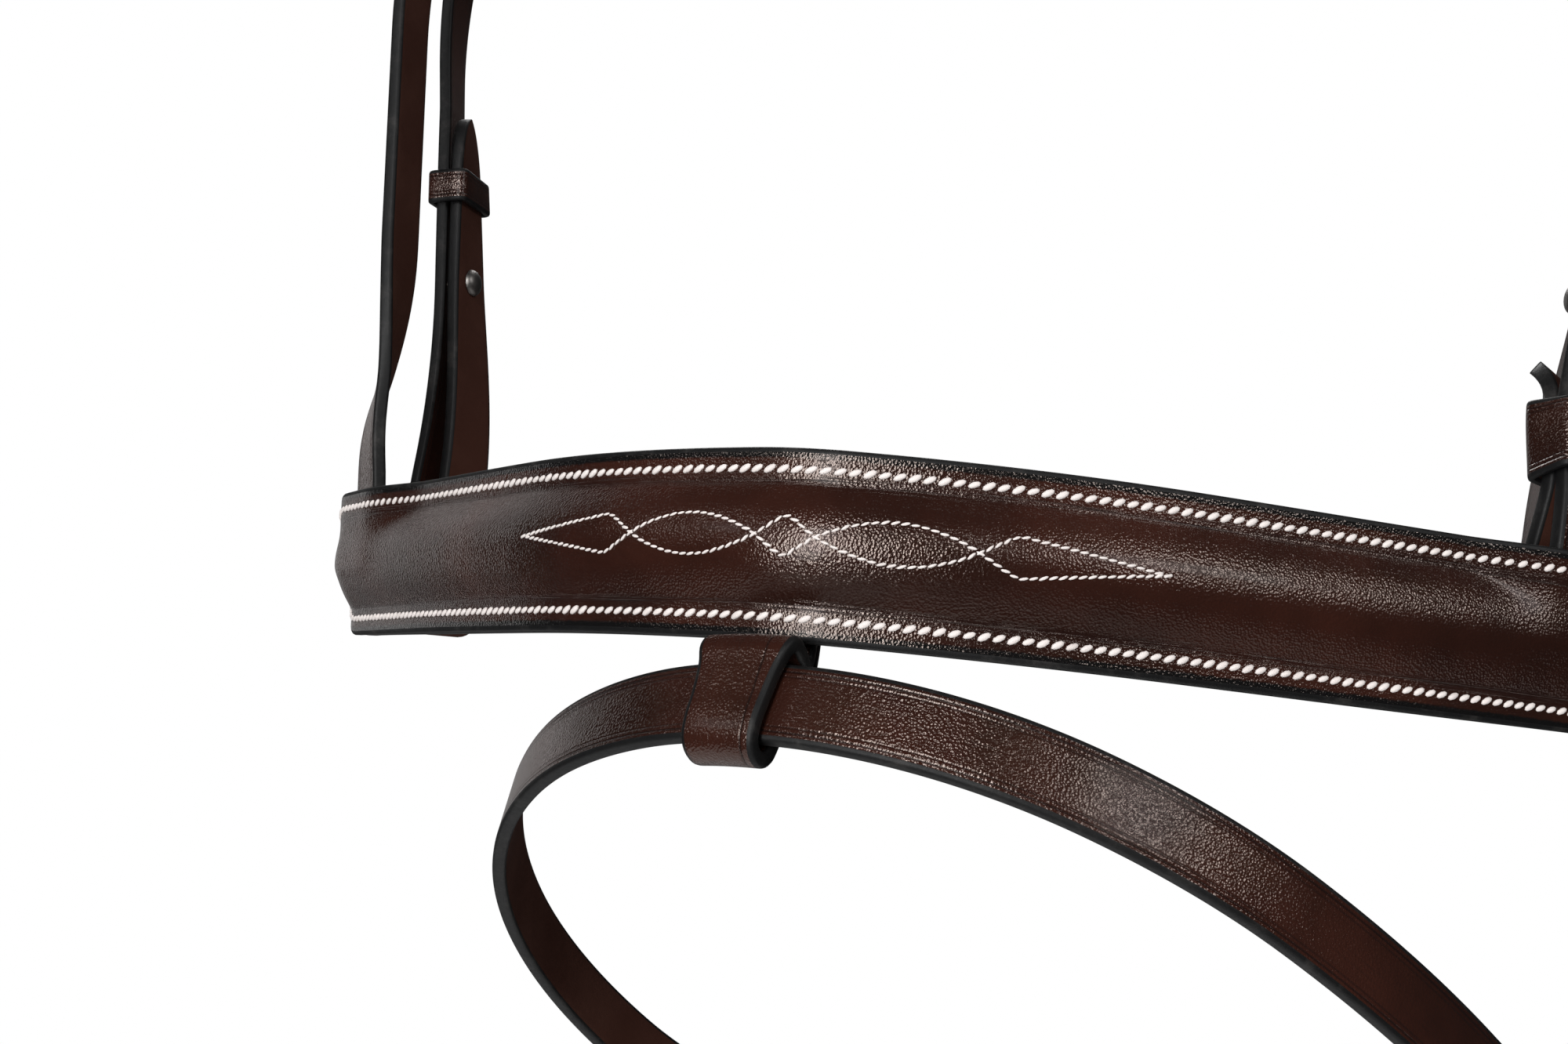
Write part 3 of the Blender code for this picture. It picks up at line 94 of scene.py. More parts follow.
# A line in a plane, made of straights and arcs: (length, None) or (radius, degrees)
class Run:
    def __init__(self, pieces, start=(0.0, 0.0), heading=0.0):
        self.parts = []
        place, angle, s = Vector(start), heading, 0.0
        for size, turn in pieces:
            length = size if turn is None else size * abs(math.radians(turn))
            bend = 0.0 if turn is None else math.copysign(1.0 / size, turn)
            self.parts.append((s, length, bend, place.copy(), angle))
            place, angle = self.step(place, angle, bend, length)
            s += length
        self.length, self.end, self.endHeading = s, place, angle

    def step(self, place, angle, bend, length):
        if bend == 0.0:
            return place + Vector((math.cos(angle), math.sin(angle))) * length, angle
        after = angle + bend * length
        move = Vector((math.sin(after) - math.sin(angle), math.cos(angle) - math.cos(after)))
        return place + move / bend, after

    def at(self, s):
        start, length, bend, place, angle = self.parts[0]
        if s < 0.0:
            return self.step(place, angle, 0.0, s)
        for start, length, bend, place, angle in self.parts:
            if s <= start + length:
                return self.step(place, angle, bend, s - start)
        return self.step(self.end, self.endHeading, 0.0, s - self.length)


# A strap's route in space: its middle and the direction across the strap
class Line:
    def __init__(self, middle, across, lift=0.0):
        self.middle, self.across, self.lift = middle, across, lift

    def frame(self, s, n=0.0):
        small = fits["small"]
        along = (self.middle(s + small) - self.middle(s - small)).normalized()
        wide = self.across(s)
        wide = (wide - along * wide.dot(along)).normalized()
        out = along.cross(wide)
        return self.middle(s) + out * (self.lift + n), along, wide, out

    def lifted(self, n):
        return Line(self.middle, self.across, self.lift + n)

    def section(self, s, places):
        place, along, wide, out = self.frame(s)
        return [place + wide * w + out * n for w, n in places]


# Points on an arc whose angles are in degrees
def arc(x, y, radius, start, stop, steps):
    angles = [math.radians(start + (stop - start) * k / steps) for k in range(steps + 1)]
    return [(x + radius * math.cos(angle), y + radius * math.sin(angle)) for angle in angles]


def addObject(name, data):
    made = bpy.data.objects.new(name, data)
    bpy.context.scene.collection.objects.link(made)
    return made


def linkMesh(name, spots, faces, slots, materials, uvs=None, rims=None):
    mesh = bpy.data.meshes.new(name)
    mesh.from_pydata([tuple(spot) for spot in spots], [], faces)
    for material in materials:
        mesh.materials.append(material)
    mesh.polygons.foreach_set("material_index", slots)
    if uvs is not None:
        layer = mesh.uv_layers.new(name="strap")
        corners = numpy.empty(len(mesh.loops), dtype=numpy.int32)
        mesh.loops.foreach_get("vertex_index", corners)
        layer.data.foreach_set("uv", numpy.asarray(uvs, dtype=numpy.float32)[corners].ravel())
        rim = mesh.attributes.new("rim", "FLOAT", "POINT")
        rim.data.foreach_set("value", numpy.asarray(rims, dtype=numpy.float32))
    mesh.shade_smooth()
    mesh.set_sharp_from_angle(angle=fits["sharpAngle"])
    return addObject(name, mesh)


# Puts rows of a net close together along a smooth curve through the rows given
def refine(points, values, step):
    points, values = numpy.array(points), numpy.array(values)
    centres = points.mean(axis=1)
    gaps = numpy.maximum(numpy.linalg.norm(numpy.diff(centres, axis=0), axis=1), 1e-6)
    slopes = numpy.diff(points, axis=0) / gaps[:, None, None]
    tangents = numpy.empty_like(points)
    tangents[0], tangents[-1] = slopes[0], slopes[-1]
    before, after = gaps[:-1, None, None], gaps[1:, None, None]
    tangents[1:-1] = (slopes[:-1] * after + slopes[1:] * before) / (before + after)
    rows, carried = [points[:1]], [values[:1]]
    for i, far in enumerate(gaps):
        count = max(1, math.ceil(far / step))
        t = (numpy.arange(1, count + 1) / count)[:, None, None]
        start, stop = points[i][None], points[i + 1][None]
        rows.append((2 * t ** 3 - 3 * t ** 2 + 1) * start + (3 * t ** 2 - 2 * t ** 3) * stop
                    + (t ** 3 - 2 * t ** 2 + t) * far * tangents[i]
                    + (t ** 3 - t ** 2) * far * tangents[i + 1])
        carried.append(values[i][None] * (1 - t) + values[i + 1][None] * t)
    return numpy.concatenate(rows), numpy.concatenate(carried)


# Places across a strap, close together at its two rounded edges, and evenly or by a step between them
def placesAcross(low, high, step=None):
    edge = min(leather["edge"], (high - low) * leather["edgeMostShare"])
    insets = [edge * inset for inset, share in leather["edgeShares"]]
    span = leather["innerColumns"] + 1
    inner = [low + edge + (high - low - 2.0 * edge) * k / span for k in range(1, span)]
    if step:
        inner = spread(low + edge, high - edge, step)[1:-1]
    return [low + inset for inset in insets] + inner + [high - inset for inset in insets[::-1]]


# How much of the thickness is left at each of those places
def sharesAcross(count):
    shares = [share for inset, share in leather["edgeShares"]]
    return shares + [1.0] * (count - 2 * len(shares)) + shares[::-1]


# Place across, thickness and distance to the edge at each of them
def factsAcross(places, thick, half):
    return [(w, thick * share, half - abs(w)) for w, share in zip(places, sharesAcross(len(places)))]


edgeColumns = len(leather["edgeShares"])
columnShares = sharesAcross(2 * edgeColumns + leather["innerColumns"])


# A closed sheet of leather on a net of mid-points. values has a place across, a thickness, a
# distance to the edge for each point; holds says which cells are there, joined which of those at a
# group's border have no edge
def sheet(name, points, values, materials, closed=False, holds=None, group=None, edgeCells=None,
          joined=None):
    points, values = numpy.array(points), numpy.array(values)
    rows, cols = points.shape[:2]
    group = group or cols
    edgeCells = edgeColumns - 1 if edgeCells is None else edgeCells
    along = numpy.roll(points, -1, axis=0) - numpy.roll(points, 1, axis=0)
    if not closed:
        along[0], along[-1] = points[1] - points[0], points[-1] - points[-2]
    wide = numpy.empty_like(points)
    for first in range(0, cols, group):
        part = points[:, first:first + group]
        wide[:, first:first + group] = numpy.gradient(part, axis=1)
    out = numpy.cross(along, wide)
    out /= numpy.maximum(numpy.linalg.norm(out, axis=2, keepdims=True), 1e-12)
    half = out * values[:, :, 1:2] / 2.0
    spots = numpy.concatenate([(points + half).reshape(-1, 3), (points - half).reshape(-1, 3)])
    centres = points.mean(axis=1)
    steps = numpy.linalg.norm(numpy.diff(centres, axis=0), axis=1)
    run = numpy.repeat(numpy.concatenate([[0.0], numpy.cumsum(steps)])[:, None], cols, axis=1)
    uvs = numpy.stack([run, values[:, :, 0]], axis=2).reshape(-1, 2)
    rims = values[:, :, 2].reshape(-1)
    under = rows * cols
    lastRow = rows if closed else rows - 1
    cells = {(i, j) for i in range(lastRow) for j in range(cols - 1)
             if holds is None or holds(i, j)}
    faces, slots = [], []
    sides = ((0, -1, (0, 0), (1, 0)), (0, 1, (1, 1), (0, 1)),
             (-1, 0, (0, 1), (0, 0)), (1, 0, (1, 0), (1, 1)))
    for i, j in sorted(cells):
        column = j % group
        onEdge = column < edgeCells or column >= group - 1 - edgeCells
        onEdge = onEdge and not (joined and joined(i, j))
        a, b, c, d = [(i + p) % rows * cols + j + q for p, q in ((0, 0), (1, 0), (1, 1), (0, 1))]
        faces.append((a, b, c, d))
        slots.append(1 if onEdge else 0)
        faces.append((under + d, under + c, under + b, under + a))
        slots.append(1 if onEdge else 2)
        for di, dj, p, q in sides:
            row = (i + di) % rows if closed else i + di
            if (row, j + dj) not in cells:
                a = (i + p[0]) % rows * cols + j + p[1]
                b = (i + q[0]) % rows * cols + j + q[1]
                faces.append((b, a, under + a, under + b))
                slots.append(1)
    return linkMesh(name, spots, faces, slots, materials, numpy.concatenate([uvs, uvs]),
                    numpy.concatenate([rims, rims]))


# Net of a strap along a line; run is a list of (distance along, height, half width, thickness)
def strapNet(line, run):
    centres = [line.frame(s, n)[0] for s, n, half, thick in run]
    points, values = [], []
    for i, (s, n, half, thick) in enumerate(run):
        back = centres[i] - centres[max(i - 1, 0)]
        ahead = centres[min(i + 1, len(run) - 1)] - centres[i]
        along = (back.normalized() + ahead.normalized()).normalized()
        wide = line.frame(s)[2]
        wide = (wide - along * wide.dot(along)).normalized()
        places = placesAcross(-half, half)
        points.append([centres[i] + wide * w for w in places])
        values.append(factsAcross(places, thick, half))
    return numpy.array(points), numpy.array(values)


def strap(name, line, run, materials):
    points, values = strapNet(line, run)
    return sheet(name, *refine(points, values, fits["rowStep"]), materials)


# Half width of a strap's pointed tip with this much length left
def tipHalf(half, left):
    share = min(max(left / leather["tipLength"], 0.0), 1.0)
    return half * max(math.sqrt(1.0 - (1.0 - share) ** 2), leather["tipFloorShare"])


def tipStops():
    return [leather["tipLength"] * share for share in leather["tipShares"]]


# Places (s, n) round the end where a strap folds back
def foldArc(end, radius):
    turns = [math.radians(angle) for angle in leather["foldAngles"]]
    return [(end + radius * math.sin(a), radius * (math.cos(a) - 1.0)) for a in turns]


# Faces of a tube through rings of points, closed to a ring itself or capped at its ends
def tubeFaces(rings, count, closed=False, base=0):
    faces = []
    for r in range(rings if closed else rings - 1):
        low, high = base + r * count, base + (r + 1) % rings * count
        faces += [(low + k, low + (k + 1) % count, high + (k + 1) % count, high + k)
                  for k in range(count)]
    if not closed:
        last = base + (rings - 1) * count
        faces += [tuple(range(base, base + count))[::-1], tuple(range(last, last + count))]
    return faces


# A closed solid through sections with the same number of points
def loft(name, sections, material):
    spots = [spot for section in sections for spot in section]
    faces = tubeFaces(len(sections), len(sections[0]))
    made = linkMesh(name, spots, faces, [0] * len(faces), [material])
    faceOut(made)
    return made


def faceOut(made):
    shape = bmesh.new()
    shape.from_mesh(made.data)
    bmesh.ops.recalc_face_normals(shape, faces=shape.faces)
    shape.to_mesh(made.data)
    shape.free()


# A rod along points, as thick as radii says; normals fix where its facets lie
def rod(name, points, normals, radii, material, closed=False, sides=14):
    count = len(points)
    spots = []
    for i in range(count):
        back = points[i] - points[i - 1 if closed else max(i - 1, 0)]
        ahead = points[(i + 1) % count if closed else min(i + 1, count - 1)] - points[i]
        along = (back.normalized() + ahead.normalized()).normalized()
        out = (normals[i] - along * normals[i].dot(along)).normalized()
        wide = along.cross(out)
        for k in range(sides):
            angle = math.tau * k / sides
            spots.append(points[i] + (out * math.sin(angle) + wide * math.cos(angle)) * radii[i])
    faces = tubeFaces(count, sides, closed)
    return linkMesh(name, spots, faces, [0] * len(faces), [material])


# A circle, or two half circles this length apart
def oval(radius, length=0.0, sides=20):
    turn = 180.0 / sides
    return [(x + math.copysign(length / 2.0, x), y)
            for x, y in arc(0.0, 0.0, radius, turn, 360.0 + turn, sides)[:-1]]


# Puts points between the given ones, at most a step apart
def densify(spots, step):
    full = []
    for (x0, y0), (x1, y1) in zip(spots, spots[1:]):
        count = max(1, math.ceil(math.hypot(x1 - x0, y1 - y0) / step))
        full += [(x0 + (x1 - x0) * k / count, y0 + (y1 - y0) * k / count) for k in range(count)]
    return full + [spots[-1]]


# Swaps an object's mesh for what its modifiers make of it
def bake(made):
    bpy.context.view_layer.update()
    seen = made.evaluated_get(bpy.context.evaluated_depsgraph_get())
    mesh = bpy.data.meshes.new_from_object(seen)
    old = made.data
    made.modifiers.clear()
    made.data = mesh
    bpy.data.meshes.remove(old)


# Cuts prisms out of a piece; each is (centre, three directions, outline, depth to both sides)
def punch(made, cuts):
    spots, faces = [], []
    for centre, first, second, through, outline, depth in cuts:
        faces += tubeFaces(2, len(outline), False, len(spots))
        for height in (-depth, depth):
            spots += [centre + first * x + second * y + through * height for x, y in outline]
    cutter = linkMesh(made.name + "Cutter", spots, faces, [1] * len(faces), list(made.data.materials))
    cut = made.modifiers.new("punch", "BOOLEAN")
    cut.operation = "DIFFERENCE"
    cut.solver = "EXACT"
    cut.object = cutter
    bake(made)
    made.data.set_sharp_from_angle(angle=fits["sharpAngle"])
    bpy.data.objects.remove(cutter)


# Gives a finished piece its body and hides the CAD node that it stands for, if it does
def done(made, node, stands=True):
    if stands:
        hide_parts(node)
    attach(made, nodeBody[node])


buckleSizes = inMetres(wire=1.4, wireStep=2.0, tongueWire=0.95, reach=16.0, corner=2.4, room=1.0,
                       tongueOver=1.2, chapeLength=26.0, chapeRun=9.0, billetTail=60.0,
                       fixedKeeperAt=14.0, fixedKeeperLength=7.0, runningKeeperAt=37.0,
                       runningKeeperLength=8.0, slotReach=7.0, slotNear=0.2, slotMargin=4.0,
                       holeRadius=1.6, holePitch=7.0, keeperRoom=0.4)
buckleSizes.update(holeCount=2, footShare=0.9, crestShare=0.7)
wire = buckleSizes["wire"]


# A leather loop round a stack of straps, from low to high through their thickness
def keeper(node, line, mid, length, half, low, high):
    thick = leather["keeperThick"]
    w = half + buckleSizes["keeperRoom"] + thick / 2.0
    low, high = low - gap - thick / 2.0, high + gap + thick / 2.0
    ofThick, ofStack = leather["keeperRound"]
    radius = min(thick * ofThick, (high - low) * ofStack)
    corners = [arc(x, y, radius, start, start + 90.0, 4) for x, y, start in
               ((w - radius, low + radius, -90.0), (w - radius, high - radius, 0.0),
                (radius - w, high - radius, 90.0), (radius - w, low + radius, 180.0))]
    full = []
    for here, after in zip(corners, corners[1:] + corners[:1]):
        (x0, y0), (x1, y1) = here[-1], after[0]
        full += here + [(x0 + (x1 - x0) * share, y0 + (y1 - y0) * share)
                        for share in leather["keeperSides"]]
    places = placesAcross(-length / 2.0, length / 2.0)
    frames = [line.frame(mid + across) for across in places]
    points = [[place + wide * a + out * b for place, along, wide, out in frames] for a, b in full]
    values = [factsAcross(places, thick, length / 2.0)] * len(full)
    made = sheet(node, points, values, looks, closed=True)
    faceOut(made)
    done(made, node)


# Where a buckle sits on a strap line. The front bar lies at s = heel + side * reach
class Buckle:
    def __init__(self, line, heel, side, half, thick=strapThick):
        self.line, self.heel, self.side, self.half, self.thick = line, heel, side, half, thick
        skived = leather["skivedThick"]
        self.chapeMiddle = wire + gap + skived / 2.0
        self.leaf = gap / 2.0 + thick / 2.0
        self.innerLeaf = gap / 2.0 + skived / 2.0
        self.frontRise = wire + gap + thick / 2.0
        self.overBar = wire + gap + skived + gap + thick / 2.0
        self.overBody = gap / 2.0 + thick + gap + thick / 2.0
        self.slot = buckleSizes["tongueWire"] + buckleSizes["keeperRoom"] + gap
        self.slotFar = buckleSizes["reach"] - buckleSizes["slotMargin"]

    def spot(self, t, w, n):
        place, along, wide, out = self.line.frame(self.heel)
        return place + along * self.side * t + wide * w + out * n

    # (s, n, half, thickness) from the end of the short inner leaf, round the bar, to the body
    def chapeRun(self):
        skived, run = leather["skivedThick"], buckleSizes["chapeRun"]
        shares = (1.0, 0.66, 0.33, 0.0)
        short = buckleSizes["chapeLength"] - run
        points = [(-buckleSizes["chapeLength"] + short * k / 3.0, -self.innerLeaf, skived)
                  for k in range(3)]
        for share in shares:
            n = self.innerLeaf + (self.chapeMiddle - self.innerLeaf) * smooth(1.0 - share)
            points.append((-run * share, -n, skived))
        for angle in (-60.0, -30.0, 0.0, 30.0, 60.0):
            a = math.radians(angle)
            points.append((self.chapeMiddle * math.cos(a), self.chapeMiddle * math.sin(a), skived))
        for share in shares[::-1]:
            n = self.leaf + (self.chapeMiddle - self.leaf) * smooth(1.0 - share)
            points.append((-run * share, n, self.thick + (skived - self.thick) * smooth(1.0 - share)))
        return [(self.heel + self.side * t, n, self.half, thick) for t, n, thick in points]

    # (s, n, half, thickness) from past the front bar, through the frame, to the billet's tip
    def billetRun(self):
        reach, run, tail = buckleSizes["reach"], buckleSizes["chapeRun"], buckleSizes["billetTail"]
        foot = reach - wire * buckleSizes["footShare"] - gap
        crest = wire * buckleSizes["crestShare"]
        slope = self.overBar / (foot - crest)
        far = self.slotFar
        points = [(reach + run, 0.0), (foot, 0.0), (far, (foot - far) * slope),
                  (crest, self.overBar), (-wire, self.overBar), (-run, self.overBody)]
        flat = tail - leather["tipLength"] - run
        points += [(-run - flat * (k + 1) / 4.0, self.overBody) for k in range(3)]
        points += [(-tail + left, self.overBody) for left in tipStops()]
        points.append((-tail, self.overBody))
        return [(self.heel + self.side * t, n, tipHalf(self.half, t + tail), self.thick)
                for t, n in points]

    # The run of a strap that goes once around and through its own buckle
    def ringRun(self, around, halfAt):
        chape = self.chapeRun()
        billet = [(s + around, n, half, thick) for s, n, half, thick in self.billetRun()]
        middle = spread(chape[-1][0], billet[0][0], fits["lineStep"])[1:-1]
        return chape + [(s, self.body(s), halfAt(s), self.thick) for s in middle] + billet

    # How far out the strap itself lies near its chape: on the short leaf, then level
    def body(self, s):
        run = buckleSizes["chapeRun"]
        far = abs(s - self.heel) - buckleSizes["billetTail"] - run
        return self.leaf * (1.0 - smooth(far / (2.0 * run)))

    def placeCut(self, t, n, outline, depth):
        place, along, wide, out = self.line.frame(self.heel + self.side * t)
        return place + out * n, along, wide, out, outline, depth

    def chapeSlot(self):
        depth = self.overBar - self.thick / 2.0 - gap / 2.0
        return self.placeCut(0.0, 0.0, oval(self.slot, buckleSizes["slotReach"]), depth)

    def addMetal(self, prefix):
        a = self.half + buckleSizes["room"] + wire
        r, reach = buckleSizes["corner"], buckleSizes["reach"]
        points = []
        for t, w, start in ((0.0, -a, 270.0), (0.0, a, 180.0), (reach, a, 90.0), (reach, -a, 0.0)):
            points += arc(t + math.copysign(r, -t + wire), w - math.copysign(r, w), r, start,
                          start - 90.0, 6)
        full = densify(points + points[:1], buckleSizes["wireStep"])[:-1]
        spots = [self.spot(t, w, self.frontRise * smooth(t / reach)) for t, w in full]
        place, along, wide, out = self.line.frame(self.heel)
        node = prefix + "_buckle_frame"
        done(rod(node, spots, [out] * len(spots), [wire] * len(spots), steel, True), node)
        tongue = buckleSizes["tongueWire"]
        eye, tipN = wire + gap + tongue, self.frontRise + wire + gap + tongue
        rise = math.atan2(tipN, reach) - math.asin(eye / math.hypot(reach, tipN))
        points = arc(0.0, 0.0, eye, -50.0, math.degrees(rise) - 270.0, 20)
        t, n = points[-1]
        run = reach + wire + buckleSizes["tongueOver"] - t
        points += [(t + run * share, n + run * share * math.tan(rise))
                   for share in (0.2, 0.4, 0.6, 0.8, 0.92, 0.98, 1.0)]
        radii = [tongue] * (len(points) - 2) + [tongue * 0.8, tongue * 0.4]
        spots = [self.spot(t, 0.0, n) for t, n in points]
        node = prefix + "_buckle_tongue"
        done(rod(node, spots, [wide] * len(spots), radii, steel), node)

    def addKeepers(self, prefix):
        top = self.overBody + self.thick / 2.0
        for kind, low in (("fixed", -gap / 2.0 - leather["skivedThick"]), ("running", gap / 2.0)):
            keeper(prefix + "_" + kind + "_keeper", self.line,
                   self.heel - self.side * buckleSizes[kind + "KeeperAt"],
                   buckleSizes[kind + "KeeperLength"], self.half, low, top)

    def holes(self):
        near = buckleSizes["slotNear"]
        mid, length = (near + self.slotFar) / 2.0, self.slotFar - near
        cuts = [self.placeCut(mid, self.overBar / 2.0, oval(self.slot, length - 2.0 * self.slot),
                              self.overBar)]
        first = buckleSizes["runningKeeperAt"] + buckleSizes["runningKeeperLength"]
        for k in range(buckleSizes["holeCount"]):
            cuts.append(self.placeCut(-first - buckleSizes["holePitch"] * k, self.overBody,
                                      oval(buckleSizes["holeRadius"]), self.thick))
        return cuts

    # Two rows of stitches that hold the chape, beside the fixed keeper
    def addStitches(self, node, prefix):
        start, stop = seams["chapeStart"], seams["chapeStop"]
        out = self.leaf + self.thick / 2.0
        for side in (-1.0, 1.0):
            route = []
            for t in spread(-start, -stop, fits["seamStep"]):
                place, along, wide, up = self.line.frame(self.heel + self.side * t)
                route.append((place + wide * side * (self.half - seams["chapeInset"]) + up * out, up))
            stitches(prefix + "Seam" + ("Low" if side < 0.0 else "High"), node, route, threads["plain"])


noseband = inMetres(height=32.8, z=-416.0, front=-98.0, shift=4.0, tipRadius=35.0, tipArc=8.6,
                    cheekRadius=155.0, cheekArc=61.4, sideRadius=1030.0, sideArc=94.0,
                    cornerRadius=21.0, jawRun=22.0, jawRadius=40.0, chinRadius=60.0, chinHalfRun=42.0,
                    chinRise=17.0, faceThick=2.2, backingThick=2.8, crownHeight=3.9, crownHalf=9.3,
                    faceHalfLength=184.0, faceEndRun=16.0, chinWidth=20.0, faceColumn=0.55, faceRow=1.2)
noseband.update(
    cornerTurn=24.0, jawTurn=84.0, lean=5.0, leanStartShare=0.6, crownPower=1.25, padShare=0.76,
    crownSpread=1.1,  # the crown runs out softly past its padding
    # run of the swelling over the hanger, as a share of its half width, and how it meets the crown
    nearBump=(2.8, 3.0),
    offBump=(4.2, 4.0),
)


def nosePlan():
    band = noseband
    pieces = [(band[part + "Radius"], math.degrees(band[part + "Arc"] / band[part + "Radius"]))
              for part in ("tip", "cheek", "side")]
    pieces += [(band["cornerRadius"], band["cornerTurn"]), (band["jawRun"], None),
               (band["jawRadius"], band["jawTurn"])]
    front = Run(pieces)
    left = math.pi - front.endHeading
    across = front.end.x - band["chinHalfRun"] - band["chinRadius"] * math.sin(left)
    pieces += [(across / math.cos(left), None), (band["chinRadius"], math.degrees(left)),
               (band["chinHalfRun"], None)]
    return Run(pieces)


plan = nosePlan()
noseLength = 2.0 * plan.length
cornerStart = noseband["tipArc"] + noseband["cheekArc"] + noseband["sideArc"]
noseHalf = noseband["height"] / 2.0
chinHalf = noseband["chinWidth"] / 2.0


def noseMiddle(q):
    s = signed(q, plan.length)
    spot, heading = plan.at(abs(s))
    run = plan.length - noseband["chinHalfRun"] - cornerStart
    rise = noseband["chinRise"] * smooth((abs(s) - cornerStart) / run)
    return Vector((noseband["shift"] + math.copysign(spot.x, s), noseband["front"] + spot.y,
                   noseband["z"] + rise))


def noseAcross(q):
    s = signed(q, plan.length)
    spot, heading = plan.at(abs(s))
    mid = cornerStart * noseband["leanStartShare"]
    lean = smooth((abs(s) - mid) / (cornerStart - mid))
    lean *= 1.0 - smooth((abs(s) - cornerStart) / (noseband["cornerRadius"] * 2.0))
    angle = math.radians(noseband["lean"]) * lean
    out = Vector((math.copysign(math.sin(heading), s), -math.cos(heading), 0.0))
    return out * math.sin(angle) + Vector((0.0, 0.0, math.cos(angle)))


noseLine = Line(noseMiddle, noseAcross)
backingLine = noseLine.lifted(-noseband["faceThick"] - gap - noseband["backingThick"] / 2.0)


def noseHalfAt(q):
    run = noseband["faceHalfLength"] - cornerStart
    fade = smooth((abs(signed(q, plan.length)) - cornerStart) / run)
    return noseHalf + (chinHalf - noseHalf) * fade


headLine = inMetres(padThick=8.0, padReach=75.0, padFront=-22.0, padStepFront=-1.0, padStepBack=1.5,
                    padBack=50.0, padBorder=4.0, pollFlat=22.0, archRadius=108.0, uprightLength=107.0,
                    bowRadius=150.0, bowOutRun=20.0, bowInRun=54.0, flareRadius=210.0, footRadius=100.0,
                    sideTail=60.0)
headLine.update(bowOutTurn=9.0, bowInTurn=15.3, flareTurn=12.8, footTurn=8.0)


def sideRun():
    sizes = headLine
    pieces = [(sizes["pollFlat"], None), (sizes["archRadius"], -90.0), (sizes["uprightLength"], None),
              (sizes["bowRadius"], sizes["bowOutTurn"]), (sizes["bowOutRun"], None),
              (sizes["bowRadius"], -sizes["bowInTurn"]), (sizes["bowInRun"], None),
              (sizes["flareRadius"], sizes["flareTurn"]), (sizes["footRadius"], -sizes["footTurn"]),
              (sizes["sideTail"], None)]
    return Run(pieces, (0.0, sizes["padThick"] + gap + strapThick / 2.0))


side = sideRun()


# Distance along the side at a height, found by halving
def sideAtZ(z):
    low, high = headLine["pollFlat"], side.length
    for step in range(50):
        mid = (low + high) / 2.0
        if side.at(mid)[0].y > z:
            low = mid
        else:
            high = mid
    return (low + high) / 2.0


headpiece = inMetres(cheekWidth=14.0, throatWidth=14.0, cheekY=9.0, cheekLowY=21.0, throatY=34.0,
                     throatLowY=50.0, crownFront=-12.0, driftStart=36.0, splitZ=-94.0)
headpiece.update(tailRows=5)

browband = inMetres(height=25.0, z=-118.0, frontRadius=600.0, frontArc=85.0, thick=2.4, faceThick=1.8,
                    crownHeight=2.6, crownHalf=7.5, slack=1.0, loopLap=12.0)

sideDrift = sideAtZ(browband["z"] - headpiece["driftStart"])
sideNose = sideAtZ(noseband["z"] + noseHalf)
headLift = strapThick + gap


def sidePoint(s, yTop, yLow):
    spot, heading = side.at(abs(s))
    share = (abs(s) - sideDrift) / (sideNose - sideDrift)
    return Vector((math.copysign(spot.x, s), yTop + (yLow - yTop) * max(share, 0.0), spot.y))


hangerStrap = inMetres(width=13.0, y=-8.0, lowY=-16.0, mid=154.0, offset=4.0, blend=30.0, twistRun=62.0,
                       depth=20.0, foldDepth=19.4, foldTail=37.0, foldCurl=5.0, keeperLow=14.0,
                       keeperLength=15.0)
hangerStrap.update(tailShares=(0.15, 0.3, 0.45, 0.6, 0.72, 0.82, 0.9, 0.96, 0.99, 1.0))


# Where the hanger goes into the noseband on this side, as a place round the noseband
def hangerSeam(s):
    return math.copysign(hangerStrap["mid"], s) - hangerStrap["offset"]


def hangerMiddle(s):
    free = sidePoint(s, hangerStrap["y"], hangerStrap["lowY"])
    if abs(s) < sideNose - hangerStrap["blend"]:
        return free
    place, along, wide, out = noseLine.frame(hangerSeam(s))
    level = noseHalf + sideNose - abs(s)
    sewn = place + out * (strapThick / 2.0 - noseband["faceThick"]) + wide * level
    return free.lerp(sewn, smooth((abs(s) - sideNose + hangerStrap["blend"]) / hangerStrap["blend"]))


def hangerAcross(s):
    turn = smooth((abs(s) - sideNose + hangerStrap["twistRun"]) / hangerStrap["twistRun"])
    along = noseLine.frame(hangerSeam(s))[1]
    if along.y < 0.0:
        along = -along
    return Vector((0.0, 1.0, 0.0)).lerp(along, turn)


hangerLine = Line(hangerMiddle, hangerAcross)


cheekpiece = inMetres(heelZ=-158.0, bitLoopZ=-421.0, bitLoopRadius=6.5, bitOpenZ=-340.0, bitTipZ=-299.0,
                      bitStudZ=-341.0, bitKeeperZ=-318.0, bitKeeperLength=8.0, studShank=1.5,
                      studHead=3.3, studHeadHeight=2.0, studRivetHeight=0.8, twistTopZ=-298.0,
                      twistLowZ=-395.0)
cheekpiece.update(twistTop=13.0, twistLow=-20.0)


def cheekAcross(s):
    z = side.at(abs(s))[0].y
    top, low = cheekpiece["twistTopZ"], cheekpiece["twistLowZ"]
    share = min(max((z - top) / (low - top), 0.0), 1.0)
    tailZ = cheekpiece["heelZ"] - buckleSizes["billetTail"]
    start = smooth((z - tailZ) / (top - tailZ))
    angle = math.radians(cheekpiece["twistTop"] * start
                         + (cheekpiece["twistLow"] - cheekpiece["twistTop"]) * share)
    return Vector((math.copysign(1.0, s) * math.sin(angle), math.cos(angle), 0.0))


cheekLine = Line(lambda s: sidePoint(s, headpiece["cheekY"], headpiece["cheekLowY"]), cheekAcross,
                 headLift)


throatlash = inMetres(heelZ=-158.0, upright=62.0, radius=84.0)


